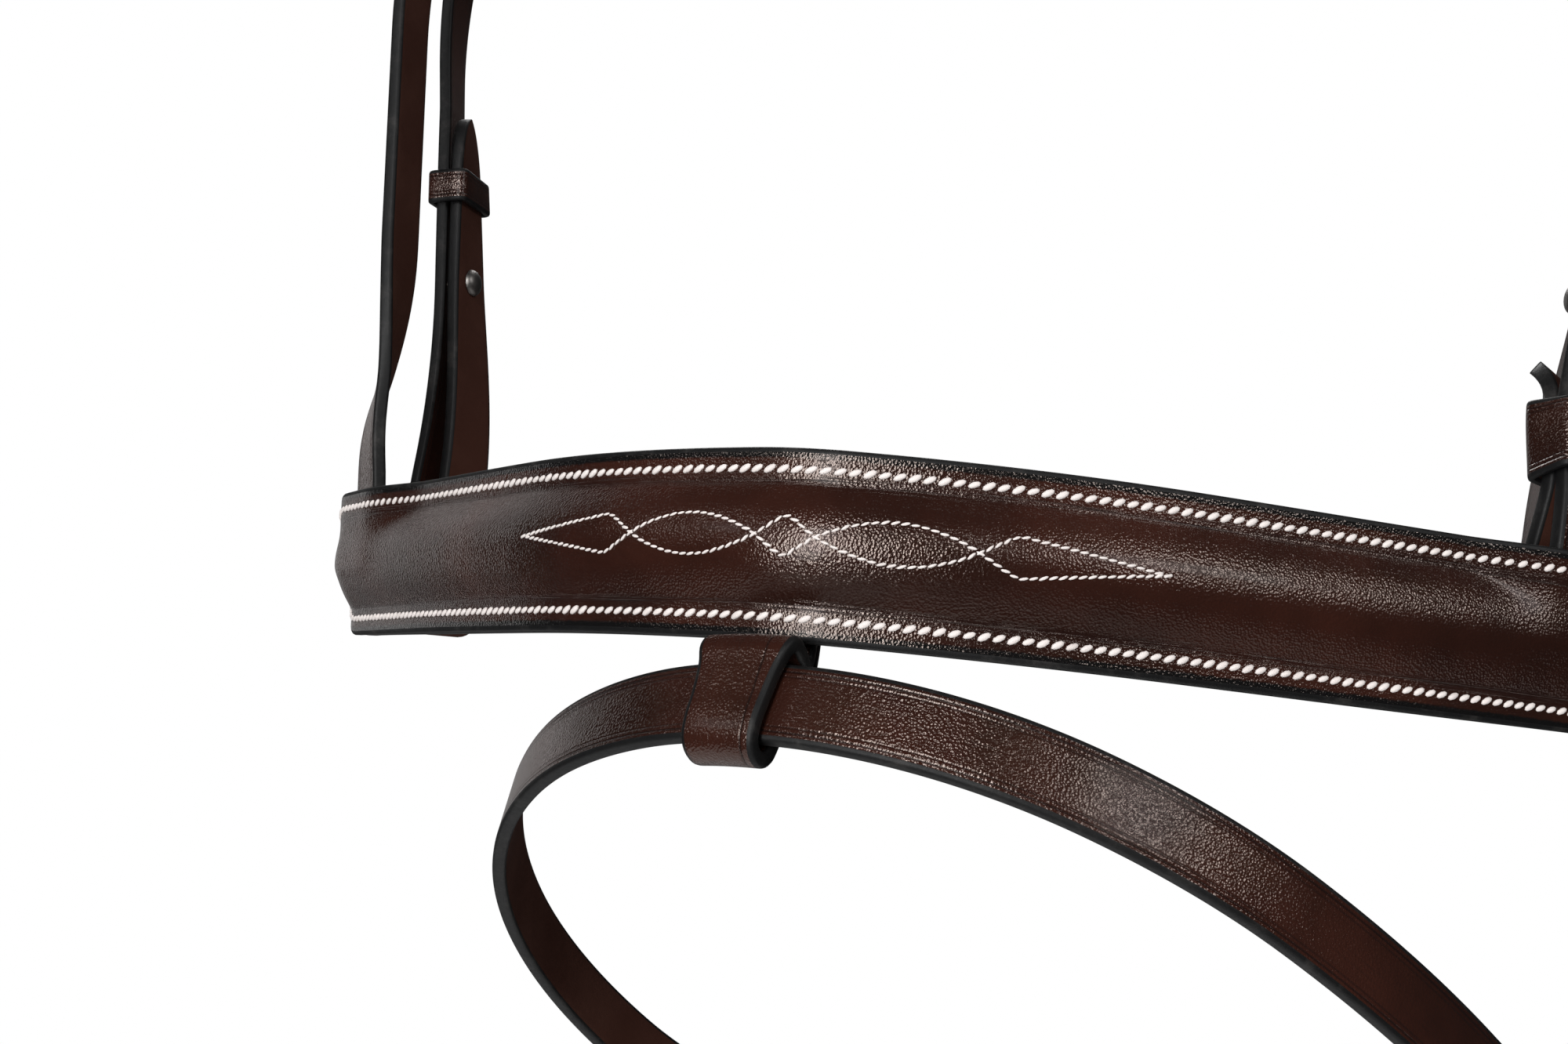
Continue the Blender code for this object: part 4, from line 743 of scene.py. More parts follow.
def throatRun():
    radius = throatlash["radius"]
    pieces = [(headLine["pollFlat"], None), (headLine["archRadius"], -90.0),
              (throatlash["upright"], None), (radius, -90.0),
              (headLine["pollFlat"] + headLine["archRadius"] - radius, None)]
    return Run(pieces, (0.0, headLine["padThick"] + gap + strapThick / 2.0))


throat = throatRun()
throatLength = 2.0 * throat.length


def throatMiddle(q):
    s = signed(q, throat.length)
    spot, heading = throat.at(abs(s))
    share = (abs(s) - sideDrift) / (throat.length - sideDrift)
    y = headpiece["throatY"] + (headpiece["throatLowY"] - headpiece["throatY"]) * smooth(share)
    return Vector((math.copysign(spot.x, s), y, spot.y))


throatLine = Line(throatMiddle, lambda q: Vector((0.0, 1.0, 0.0)), headLift)


flash = inMetres(width=14.0, thick=2.8, rightClose=60.0, leftClose=55.0, loopThick=2.8,
                 loopSeatThick=2.5, loopTopHalf=8.5, loopLowHalf=6.7, loopAt=-3.5, loopRoom=0.8,
                 loopDrop=1.2, loopSeatTop=-2.4, loopSeatLow=0.3, loopRow=0.8)
flash.update(
    fall=31.8, roll=5.8, turn=-15.2, lean=8.6,
    front=Vector((-3.1 * mm, -7.0 * mm, -27.6 * mm)),
    right=((82.0 * mm, 41.9), (115.0 * mm, 19.9), (240.0 * mm, 11.9)),
    left=((75.0 * mm, 15.3), (98.0 * mm, 23.4), (120.0 * mm, 62.1)),
)


# The flash strap's ring seen square on: its right and left halves and its rear run
def flashPlan():
    right, left = list(flash["right"]), list(flash["left"])
    left.append((flash["leftClose"], 180.0 - math.degrees(Run(left).endHeading)))
    start, leftHalf = Run(right), Run(left)
    close = 180.0 - math.degrees(start.endHeading)
    far = Run([(flash["rightClose"], close)], start.end, start.endHeading)
    lack = (leftHalf.end.y - far.end.y) / math.sin(start.endHeading)
    return Run(right + [(lack, None), (flash["rightClose"], close)]), leftHalf


flashRight, flashLeft = flashPlan()
flashRear = flashRight.end.x + flashLeft.end.x
flashLength = flashRight.length + flashRear + flashLeft.length


# Directions of the ring: along the strap at the front, back through the ring, and up
def flashAxes():
    roll, fall, turn = [math.radians(flash[key]) for key in ("roll", "fall", "turn")]
    across = Vector((math.cos(roll), 0.0, -math.sin(roll)))
    back = Vector((0.0, math.cos(fall), -math.sin(fall)))
    back = (back - across * back.dot(across)).normalized()
    first = across * math.cos(turn) + back * math.sin(turn)
    return first, back * math.cos(turn) - across * math.sin(turn), across.cross(back)


flashFirst, flashSecond, flashUp = flashAxes()
flashOrigin = Vector((noseband["shift"], noseband["front"], noseband["z"])) + flash["front"]


def flashPlace(q):
    s = q % flashLength
    if s <= flashRight.length:
        spot, heading = flashRight.at(s)
        return spot.x, spot.y, heading
    if s <= flashRight.length + flashRear:
        return flashRight.end.x - (s - flashRight.length), flashRight.end.y, math.pi
    spot, heading = flashLeft.at(flashLength - s)
    return -spot.x, spot.y, math.tau - heading


def flashMiddle(q):
    x, y, heading = flashPlace(q)
    return flashOrigin + flashFirst * x + flashSecond * y


def flashAcross(q):
    x, y, heading = flashPlace(q)
    out = flashFirst * math.sin(heading) - flashSecond * math.cos(heading)
    lean = math.radians(flash["lean"])
    return flashUp * math.cos(lean) + out * math.sin(lean)


flashLine = Line(flashMiddle, flashAcross)


# Half of the browband's plan, from the middle of the forehead to the back of its loop
def browRun():
    inner = strapThick / 2.0 + gap + strapThick + gap + browband["thick"] / 2.0
    width = headLine["pollFlat"] + headLine["archRadius"] + inner
    front = math.degrees(browband["frontArc"] / browband["frontRadius"])
    start = Run([(browband["frontRadius"], front)])
    radius = (width - start.end.x) / (1.0 - math.cos(math.radians(90.0 - front)))
    return Run([(browband["frontRadius"], front), (radius, 90.0 - front)]), inner


brow, browOuter = browRun()
browBack = headpiece["throatY"] + headpiece["throatWidth"] / 2.0 + browband["slack"]
browStart = hangerStrap["y"] - hangerStrap["width"] / 2.0 - browband["slack"]
browSide = browBack - browStart + browband["loopLap"]
browY = browBack - browSide - brow.end.y


def browMiddle(s):
    spot, heading = brow.at(abs(s))
    return Vector((math.copysign(spot.x, s), browY + spot.y, browband["z"]))


browLine = Line(browMiddle, lambda s: Vector((0.0, 0.0, 1.0)))


# A socket that takes Python's own sums
class Value:
    def __init__(self, graph, socket):
        self.graph, self.socket = graph, socket

    def math(self, kind, other=None):
        return self.graph.node("ShaderNodeMath", {"operation": kind}, {0: self, 1: other})

    def __add__(self, other):
        return self.math("ADD", other)

    __radd__ = __add__

    def __sub__(self, other):
        return self.math("SUBTRACT", other)

    def __rsub__(self, other):
        return self.graph.node("ShaderNodeMath", {"operation": "SUBTRACT"}, {0: other, 1: self})

    def __mul__(self, other):
        return self.math("MULTIPLY", other)

    def band(self, low, high):  # 0 below low, 1 above high, soft between
        return self.graph.node("ShaderNodeMapRange", {"interpolation_type": "SMOOTHSTEP"},
                               {"Value": self, "From Min": low, "From Max": high})

    # 1 on a line at a distance, 0 away from it
    def near(self, distance, width):
        return 1.0 - (self - distance).math("ABSOLUTE").band(0.0, width)


# Makes the nodes of a material, a world or a geometry tree
class Graph:
    def __init__(self, tree, owner=None):
        self.owner, self.nodes, self.links = owner, tree.nodes, tree.links
        self.nodes.clear()

    def fill(self, socket, value):
        if isinstance(value, Value):
            self.links.new(value.socket, socket)
        elif value is not None:
            socket.default_value = value

    def node(self, kind, settings=None, inputs=None, output=0):
        made = self.nodes.new(kind)
        for key, value in (settings or {}).items():
            setattr(made, key, value)
        for key, value in (inputs or {}).items():
            self.fill(made.inputs[key], value)
        return Value(self, made.outputs[output])

    # A node with like-named sockets for each type of data: only those of one type are filled
    def typed(self, kind, data, sockets, values, inputs):
        made = self.nodes.new(kind)
        made.data_type = data
        for key, value in inputs.items():
            self.fill(made.inputs[key], value)
        for socket, value in zip([s for s in made.inputs if s.type == sockets], values):
            self.fill(socket, value)
        return Value(self, [s for s in made.outputs if s.type == sockets][0])

    def place(self):
        return self.node("ShaderNodeTexCoord", output="Object")

    # Distances along and across a strap, from its own map
    def strapPlace(self):
        spot = self.node("ShaderNodeUVMap", {"uv_map": "strap"})
        return [self.node("ShaderNodeSeparateXYZ", {}, {"Vector": spot}, axis) for axis in "XY"]

    def noise(self, scale, detail=3.0, rough=0.55, where=None):
        return self.node("ShaderNodeTexNoise", {}, {"Vector": where or self.place(), "Scale": scale,
                                                    "Detail": detail, "Roughness": rough})

    def voronoi(self, scale):
        return self.node("ShaderNodeTexVoronoi", {}, {"Vector": self.place(), "Scale": scale}, "Distance")

    def mix(self, share, first, second):
        colors = [value if isinstance(value, Value) else (*value, 1.0) for value in (first, second)]
        return self.typed("ShaderNodeMix", "RGBA", "RGBA", colors, {0: share})

    def finish(self, color, roughness, bump=None, strength=0.4, distance=0.3 * mm, **more):
        inputs = {"Base Color": color, "Roughness": roughness}
        if bump is not None:
            inputs["Normal"] = self.node("ShaderNodeBump", {}, {"Height": bump, "Strength": strength,
                                                                "Distance": distance})
        inputs.update({key.replace("_", " "): value for key, value in more.items()})
        if not isinstance(color, Value):
            inputs["Base Color"] = (*color, 1.0)
        shader = self.node("ShaderNodeBsdfPrincipled", {}, inputs)
        out = self.nodes.new("ShaderNodeOutputMaterial")
        self.links.new(shader.socket, out.inputs["Surface"])
        return self.owner


def materialGraph(name):
    material = bpy.data.materials.new(name)
    material.use_nodes = True
    return Graph(material.node_tree, material)


finishes = {
    "grainDark": (0.018, 0.0062, 0.0042),
    "grainWarm": (0.040, 0.0122, 0.0078),
    "grainWorn": (0.085, 0.046, 0.035),
    "grainTint": (1.0, 0.84, 0.76, 1.0),
    "edge": (0.0045, 0.0045, 0.0048),
    "edgeWorn": (0.050, 0.046, 0.043),
    "flesh": (0.046, 0.0175, 0.012),
    "fleshWorn": (0.070, 0.030, 0.021),
    "lining": (0.012, 0.0085, 0.0075),
    "thread": (0.84, 0.77, 0.74),
    "threadDark": (0.50, 0.42, 0.39),
    "plainThread": (0.10, 0.055, 0.04),
    "steel": (0.62, 0.62, 0.60),
    # the hook studs' steel: darker than the buckles' steel as painted shade
    "steelShaded": (0.20, 0.19, 0.18),
    # each noise: cells a metre, detail, roughness
    "patches": (22.0, 4.0, 0.55),
    "cloud": (110.0, 3.0, 0.55),
    "fine": (2600.0, 2.0, 0.7),
    "scuffs": (320.0, 5.0, 0.75),
    "depths": {"grain": 1.4, "fine": 0.8, "cloud": 0.5, "crease": 2.6, "streak": 0.25},
    "grainSize": 2100.0,  # cells a metre
    "liningGrain": 900.0,
    "streaks": (45.0, 2300.0),  # streaks a metre along a strap and across it
    "creaseAt": (1.6 * mm, 2.5 * mm),
    "creaseWidth": 0.32 * mm,
    "loopCreaseAt": 4.6 * mm,
    "blackRim": (1.6 * mm, 2.1 * mm),
    "crownFootShade": (10.4 * mm, 1.9 * mm),  # middle and half width of the painted shade and darker streaks along the crown's foot
}


# Waxed leather. kind is strap, with two creases, loop, with one, face, with a black rim and painted shade
# along the crown's foot, or plain
def grainMaterial(name, kind):
    graph = materialGraph(name)
    along, across = graph.strapPlace()
    broad, cloud, fine, scuffs = [graph.noise(*finishes[key])
                                  for key in ("patches", "cloud", "fine", "scuffs")]
    grain, scuff, depths = graph.voronoi(finishes["grainSize"]), scuffs.band(0.62, 0.80), finishes["depths"]
    lengthwise = graph.node("ShaderNodeCombineXYZ", {}, {"X": along * finishes["streaks"][0],
                                                         "Y": across * finishes["streaks"][1]})
    streak = graph.noise(1.0, 3.0, 0.6, lengthwise).band(0.50, 0.74)
    color = graph.mix(broad.band(0.32, 0.68), finishes["grainDark"], finishes["grainWarm"])
    color = graph.mix(cloud.band(0.55, 0.8) * 0.35, color, finishes["grainDark"])
    color = graph.mix(scuff * 0.14, color, finishes["grainWorn"])
    bump = grain * depths["grain"] + fine * depths["fine"] + cloud * depths["cloud"]
    roughness = 0.13 + fine * 0.08 + scuff * 0.12
    if kind == "face":
        middle, half = finishes["crownFootShade"]
        foot = across.math("ABSOLUTE").near(middle, half)
        # painted shade: a dark band along the valley at the crown's foot, darker still in its crease
        # streaks
        color = graph.mix(foot * 0.30 + streak * (foot * 0.55 + 0.10), color, finishes["edge"])
        bump = bump - streak * (foot * 2.4 + 0.15)
        wander = (graph.noise(700.0, 4.0, 0.7) - 0.5) * (0.9 * mm)
        rim = graph.node("ShaderNodeAttribute", {"attribute_name": "rim"}, {}, "Fac") + wander
        color = graph.mix(1.0 - rim.band(*finishes["blackRim"]), color, finishes["edge"])
    else:
        color = graph.mix(streak * 0.18, color, finishes["edge"])
        bump = bump - streak * depths["streak"]
    if kind == "strap":
        rim = graph.node("ShaderNodeAttribute", {"attribute_name": "rim"}, {}, "Fac")
        lines = rim.near(finishes["creaseAt"][0], finishes["creaseWidth"])
        lines = lines + rim.near(finishes["creaseAt"][1], finishes["creaseWidth"]) * 0.6
        color = graph.mix(lines.band(0.0, 1.0) * 0.6, color, finishes["edge"])
        bump = bump - lines * depths["crease"]
    if kind == "loop":
        line = across.near(finishes["loopCreaseAt"], finishes["creaseWidth"])
        color = graph.mix(line * 0.6, color, finishes["edge"])
        bump = bump - line * depths["crease"]
    return graph.finish(color, roughness, bump, 0.55, 0.12 * mm, Coat_Weight=0.08,
                        Coat_Roughness=0.15, Specular_IOR_Level=0.75,
                        Specular_Tint=finishes["grainTint"])


def edgeMaterial():
    graph = materialGraph("blackEdge")
    fibres = graph.noise(900.0, 4.0, 0.7)
    worn = graph.noise(140.0, 5.0, 0.7).band(0.50, 0.78)
    color = graph.mix(worn * 0.55, finishes["edge"], finishes["edgeWorn"])
    return graph.finish(color, 0.45 + fibres * 0.2, fibres, 0.5, 0.10 * mm, Specular_IOR_Level=0.3)


def fleshMaterial():
    graph = materialGraph("fleshSide")
    fibres = graph.noise(1200.0, 4.0, 0.75)
    cloud = graph.noise(60.0, 4.0)
    color = graph.mix(cloud.band(0.35, 0.75) * 0.6, finishes["flesh"], finishes["fleshWorn"])
    return graph.finish(color, 0.68 + fibres * 0.2, fibres, 0.6, 0.14 * mm, Specular_IOR_Level=0.06)


def liningMaterial():
    graph = materialGraph("padLining")
    grain = graph.voronoi(finishes["liningGrain"])
    color = graph.mix(graph.noise(45.0).band(0.35, 0.7), finishes["lining"], finishes["grainDark"])
    return graph.finish(color, 0.52, grain, 0.5, 0.2 * mm)


def threadMaterial(name, light, dark):
    graph = materialGraph(name)
    strands = graph.noise(2400.0, 2.0)
    color = graph.mix(graph.noise(260.0, 3.0).band(0.55, 0.85) * 0.6, light, dark)
    return graph.finish(color, 0.62, strands, 0.4, 0.06 * mm, Sheen_Weight=0.2)


def steelMaterial(name, color, roughness):
    graph = materialGraph(name)
    brushed = graph.noise(700.0, 4.0, 0.6)
    worn = graph.noise(120.0, 4.0, 0.7).band(0.5, 0.75)
    return graph.finish(color, brushed * 0.14 + worn * 0.12 + roughness, brushed, 0.08, 0.05 * mm,
                        Metallic=1.0)


blackEdge, fleshSide, padLining = edgeMaterial(), fleshMaterial(), liningMaterial()
looks, plainLooks, faceLooks, loopLooks = [
    [grainMaterial(name, kind), blackEdge, fleshSide] for name, kind in
    (("waxedLeatherCreased", "strap"), ("waxedLeather", "plain"), ("waxedLeatherFace", "face"),
     ("waxedLeatherLoop", "loop"))]
creamThread = threadMaterial("creamThread", finishes["thread"], finishes["threadDark"])
brownThread = threadMaterial("brownThread", finishes["plainThread"], finishes["grainDark"])
steel = steelMaterial("polishedSteel", finishes["steel"], 0.14)
# the studs' darker steel colour is painted shade; their higher roughness is their finish
shadedStudSteel = steelMaterial("dullShadedSteel", finishes["steelShaded"], 0.36)
print("materials made")

# Slant and Wobble are in degrees; Lift is how far a stitch's middle lies over the leather
threads = {
    "border": {"Pitch": 2.5 * mm, "Length": 2.5 * mm, "Width": 1.16 * mm, "Height": 0.85 * mm,
               "Slant": 27.0, "Lift": 0.12 * mm, "Wobble": 5.0, "Material": creamThread},
    "fancy": {"Pitch": 1.66 * mm, "Length": 1.72 * mm, "Width": 0.54 * mm, "Height": 0.5 * mm,
              "Slant": 14.0, "Lift": 0.06 * mm, "Wobble": 7.0, "Material": creamThread},
    "plain": {"Pitch": 2.4 * mm, "Length": 2.0 * mm, "Width": 0.6 * mm, "Height": 0.4 * mm,
              "Slant": 8.0, "Lift": 0.04 * mm, "Wobble": 4.0, "Material": brownThread},
}
seams = inMetres(rowInset=3.8, browInset=2.66, chapeInset=2.1, chapeStart=11.0, chapeStop=25.0)
seams.update(seed=11, stitchSizes=(0.93, 1.07))  # shares of a stitch's size, at random


# One tree lays slanted stitches along a route that carries the leather's outward direction
def stitchTree():
    tree = bpy.data.node_groups.new("stitches", "GeometryNodeTree")
    graph = Graph(tree)
    sockets = {"Geometry": "Geometry", "Seed": "Int", "Material": "Material"}
    for label in ("Geometry", "Pitch", "Length", "Width", "Height", "Slant", "Lift", "Wobble", "Seed",
                  "Material"):
        tree.interface.new_socket(label, in_out="INPUT",
                                  socket_type="NodeSocket" + sockets.get(label, "Float"))
    tree.interface.new_socket("Geometry", in_out="OUTPUT", socket_type="NodeSocketGeometry")
    given = {socket.name: Value(graph, socket) for socket in graph.nodes.new("NodeGroupInput").outputs}
    result = graph.nodes.new("NodeGroupOutput")

    def chance(low, high):
        return graph.typed("FunctionNodeRandomValue", "FLOAT", "VALUE", (low, high),
                           {"Seed": given["Seed"]})

    def geometry(kind, inputs, settings=None):
        return graph.node("GeometryNode" + kind, settings, inputs)

    route = geometry("MeshToCurve", {"Mesh": given["Geometry"]})
    route = geometry("ResampleCurve", {"Curve": route, "Length": given["Pitch"]}, {"mode": "LENGTH"})
    out = graph.node("GeometryNodeInputNamedAttribute", {"data_type": "FLOAT_VECTOR"}, {"Name": "out"},
                     "Attribute")
    facing = graph.node("FunctionNodeAxesToRotation", {"primary_axis": "Z", "secondary_axis": "X"},
                        {0: out, 1: geometry("InputTangent", {})})
    slant = (given["Slant"] + chance(given["Wobble"] * -1.0, given["Wobble"])).math("RADIANS")
    facing = graph.node("FunctionNodeRotateRotation", {"rotation_space": "LOCAL"},
                        {0: facing, 1: graph.node("ShaderNodeCombineXYZ", {}, {"Z": slant})})
    size = graph.node("ShaderNodeCombineXYZ", {}, {"X": given["Length"], "Y": given["Width"],
                                                   "Z": given["Height"]})
    size = graph.node("ShaderNodeVectorMath", {"operation": "SCALE"},
                      {0: size, "Scale": chance(*seams["stitchSizes"])})
    bead = geometry("MeshUVSphere", {"Segments": 8, "Rings": 6, "Radius": 0.5})
    laid = geometry("InstanceOnPoints", {"Points": route, "Instance": bead, "Rotation": facing,
                                         "Scale": size})
    rise = graph.node("ShaderNodeCombineXYZ", {}, {"Z": given["Lift"]})
    laid = geometry("TranslateInstances", {"Instances": laid, "Translation": rise})
    laid = geometry("RealizeInstances", {"Geometry": laid})
    laid = geometry("SetMaterial", {"Geometry": laid, "Material": given["Material"]})
    graph.links.new(laid.socket, result.inputs[0])
    return tree


stitchNodes = stitchTree()


# Lays stitches along a list of (point, outward direction) on a node's surface
def stitches(name, node, route, thread):
    mesh = bpy.data.meshes.new(name)
    mesh.from_pydata([tuple(spot) for spot, up in route],
                     [(k, k + 1) for k in range(len(route) - 1)], [])
    layer = mesh.attributes.new("out", "FLOAT_VECTOR", "POINT")
    layer.data.foreach_set("vector", [x for spot, up in route for x in up])
    made = addObject(name, mesh)
    modifier = made.modifiers.new("stitches", "NODES")
    modifier.node_group = stitchNodes
    sockets = {item.name: item.identifier for item in stitchNodes.interface.items_tree
               if item.in_out == "INPUT"}
    for label, value in thread.items():
        modifier[sockets[label]] = value
    modifier[sockets["Seed"]] = seams["seed"]
    bake(made)
    made.data.shade_smooth()
    done(made, node, False)


# Height of a raised centre over the flat borders
def crownRise(w, half, height):
    share = min(abs(w) / (half * noseband["crownSpread"]), 1.0)
    return height * (1.0 - share * share) ** noseband["crownPower"]


def faceTop(s, w):
    fade = 1.0 - smooth((abs(s) - noseband["faceHalfLength"] + noseband["faceEndRun"])
                        / noseband["faceEndRun"])
    crown = crownRise(w, noseband["crownHalf"], noseband["crownHeight"]) * fade
    reach = hangerStrap["width"] / 2.0 + buckleSizes["keeperRoom"]
    share, power = noseband["nearBump"] if s > 0.0 else noseband["offBump"]
    bump = 1.0 - smooth((abs(s - hangerSeam(s)) - reach) / (reach * share))
    bump *= (strapThick + 2.0 * gap) * smooth((w + reach) / reach)
    return (crown ** power + bump ** power) ** (1.0 / power)


# A raised face: halfAt gives its half width, topAt the height of its outer side over base
def raisedFace(name, line, stops, full, halfAt, topAt, thick, base):
    points, values = [], []
    for s in stops:
        place, along, wide, out = line.frame(s)
        scale = halfAt(s) / full
        columns = placesAcross(-full, full, noseband["faceColumn"])
        points.append([place + wide * w * scale + out * (base + topAt(s, w * scale) - thick / 2.0)
                       for w in columns])
        values.append([(w * scale, thick * share, (full - abs(w)) * scale)
                       for w, share in zip(columns, sharesAcross(len(columns)))])
    done(sheet(name, points, values, faceLooks), name)


# Lays stitches on a raised face through (s, w) places
def faceStitches(name, node, line, spots, topAt, base, thread):
    route, probe = [], 0.3 * mm
    for s, w in spots:
        place, along, wide, out = line.frame(s)
        slope = (topAt(s, w + probe) - topAt(s, w - probe)) / (2.0 * probe)
        route.append((place + wide * w + out * (base + topAt(s, w)), (out - wide * slope).normalized()))
    stitches(name, node, route, threads[thread])


# A row of them along a border, with its place across from acrossAt
def borderRow(name, node, line, reach, acrossAt, topAt, base):
    end = reach - seams["rowInset"]
    spots = [(s, acrossAt(s)) for s in spread(-end, end, fits["seamStep"])]
    faceStitches(name, node, line, spots, topAt, base, "border")


figure = inMetres(shift=0.8, tip=63.0, corner=37.4, crossOuter=31.2, crossInner=4.8, half=3.65,
                  diamondHalf=3.3, cornerCut=1.1)
figure.update(shoulderShare=0.86, shoulderCut=0.6, wavePower=0.85)


# One of the two threads of the interlaced figure; the other is its mirror image
def figureThread(sign):
    tip, corner, outer, inner = [figure[key] for key in ("tip", "corner", "crossOuter", "crossInner")]
    half, cut = figure["half"], figure["cornerCut"]
    spots = [(-tip, 0.0), (-corner - cut, half * (1.0 - cut / (tip - corner))),
             (-corner + cut * figure["shoulderCut"], half * figure["shoulderShare"]), (-outer, 0.0)]
    for k in range(1, 12):
        spots.append((-outer + (outer - inner) * k / 12.0,
                      -half * math.sin(math.pi * k / 12.0) ** figure["wavePower"]))
    spots += [(-inner, 0.0), (-cut / 2.0, figure["diamondHalf"])]
    spots += [(-s, w) for s, w in spots[::-1]]
    return [(s, w * sign + figure["shift"]) for s, w in spots]


# A strap that closes a ring with its own buckle
def addRing(node, prefix, buckle, around, halfAt, cuts=()):
    made = strap(node, buckle.line, buckle.ringRun(around, halfAt), looks)
    punch(made, buckle.holes() + list(cuts))
    punch(made, [buckle.chapeSlot()])
    done(made, node)
    buckle.addMetal(prefix)
    buckle.addKeepers(prefix)
    buckle.addStitches(node, prefix)


def addNoseband():
    thick = noseband["backingThick"]
    heel = plan.length - noseband["chinHalfRun"] + buckleSizes["fixedKeeperAt"] \
        + buckleSizes["fixedKeeperLength"]
    buckle = Buckle(backingLine, heel, -1, chinHalf, thick)
    slotHalf = hangerStrap["width"] / 2.0 + gap + buckleSizes["keeperRoom"]
    top = noseHalf - hangerStrap["foldDepth"]
    radius = (thick + 2.0 * gap + strapThick) / 2.0
    low = top - radius - strapThick / 2.0 - 2.0 * gap - buckleSizes["keeperRoom"]
    corners = ((-slotHalf, low), (slotHalf, low), (slotHalf, top), (-slotHalf, top))
    addRing("noseband_backing", "chin", buckle, noseLength, noseHalfAt,
            [(*backingLine.frame(hangerSeam(1)), corners, thick)])
    reach = noseband["faceHalfLength"]
    raisedFace("noseband_face", noseLine, spread(-reach, reach, noseband["faceRow"]), noseHalf,
               noseHalfAt, faceTop, noseband["faceThick"], 0.0)
    for sign, label in ((1.0, "Top"), (-1.0, "Low")):
        borderRow("nosebandRow" + label, "noseband_face", noseLine, reach,
                  lambda s: sign * (noseHalfAt(s) - seams["rowInset"]), faceTop, 0.0)
        faceStitches("nosebandFigure" + label, "noseband_face", noseLine,
                     densify(figureThread(sign), fits["figureStep"]), faceTop, 0.0, "fancy")
    stops = spread(hangerSeam(-1) + slotHalf, hangerSeam(1) - slotHalf, fits["padStep"])
    filler("noseband_padding", noseLine, stops, noseband, gap / 2.0 - noseband["faceThick"],
           -noseband["faceThick"] - 2.0 * gap)


# Padding under a band's raised face: flat below, crowned above
def filler(name, line, stops, band, low, lift):
    half = band["crownHalf"] * noseband["padShare"]
    outline = [(w, max(crownRise(w, band["crownHalf"], band["crownHeight"]) + lift, low + gap))
               for w in spread(-half, half, fits["seamStep"])] + [(half, low), (-half, low)]
    made = loft(name, [line.section(s, outline) for s in stops], padLining)
    done(made, name)


def addHanger():
    half = hangerStrap["width"] / 2.0
    radius = (noseband["backingThick"] + 2.0 * gap + strapThick) / 2.0
    low = sideNose + hangerStrap["foldDepth"]
    close = strapThick + gap
    keeperLow, keeperLength = hangerStrap["keeperLow"], hangerStrap["keeperLength"]
    run = [(s, 0.0) for s in spread(-sideNose - hangerStrap["depth"], low, fits["lineStep"])]
    middle, top = sideNose - keeperLow - keeperLength / 2.0, sideNose - keeperLow - keeperLength
    run += foldArc(low, radius)
    run += [(low, -2.0 * radius), (sideNose, -2.0 * radius),
            (sideNose - keeperLow / 2.0, -radius - close / 2.0),
            (sideNose - keeperLow + gap, -close), (middle, -close), (top, -close)]
    tail = sideNose - hangerStrap["foldTail"]
    run = [(s, n, half, strapThick) for s, n in run]
    for share in hangerStrap["tailShares"]:
        s = top + (tail - top) * share
        run.append((s, -close - hangerStrap["foldCurl"] * share * share, tipHalf(half, abs(s - tail)),
                    strapThick))
    done(strap("hanger", hangerLine, run, looks), "hanger")
    keeper("hanger_keeper", hangerLine, middle, keeperLength, half, -close - strapThick / 2.0 - gap,
           strapThick / 2.0 + gap)


crownPad = {
    "corner": 1.6 * mm,
    "rowInset": 4.5 * mm,
    "brimShare": 0.45,  # of its thickness, where its rounded borders end
}


def addCrownPad():
    line = Line(lambda s: sidePoint(s, 0.0, 0.0), lambda s: Vector((0.0, 1.0, 0.0)),
                -strapThick / 2.0 - gap)
    sizes = headLine
    step, thick = strapThick + gap, sizes["padThick"]
    front, back, border = sizes["padFront"], sizes["padBack"], sizes["padBorder"]
    brim = -thick * crownPad["brimShare"]
    outline = ((front, brim), (front + border, 0.0), (sizes["padStepFront"], 0.0),
               (sizes["padStepBack"], step), (back - border, step), (back, brim),
               (back - border, -thick), (front + border, -thick))
    stops = spread(-sizes["padReach"], sizes["padReach"], fits["padStep"])
    made = loft("crown_pad", [line.section(s, outline) for s in stops], padLining)
    soft = made.modifiers.new("soft", "BEVEL")
    soft.width = crownPad["corner"]
    soft.segments = 4
    soft.angle_limit = math.radians(20.0)
    bake(made)
    made.data.shade_smooth()
    done(made, "crown_pad")
    for y, label in ((front + crownPad["rowInset"], "Front"), (back - crownPad["rowInset"], "Back")):
        route = [(line.section(s, [(y, -thick)])[0], -line.frame(s)[3]) for s in stops[1:-1]]
        stitches("crownPadRow" + label, "crown_pad", route, threads["plain"])


headBuckles = {}
for label, sign in (("near", 1), ("off", -1)):
    headBuckles["cheek_" + label] = Buckle(cheekLine, sign * sideAtZ(cheekpiece["heelZ"]), -sign,
                                           headpiece["cheekWidth"] / 2.0)
    headBuckles["throat_" + label] = Buckle(throatLine, sign * sideAtZ(throatlash["heelZ"]), -sign,
                                            headpiece["throatWidth"] / 2.0)


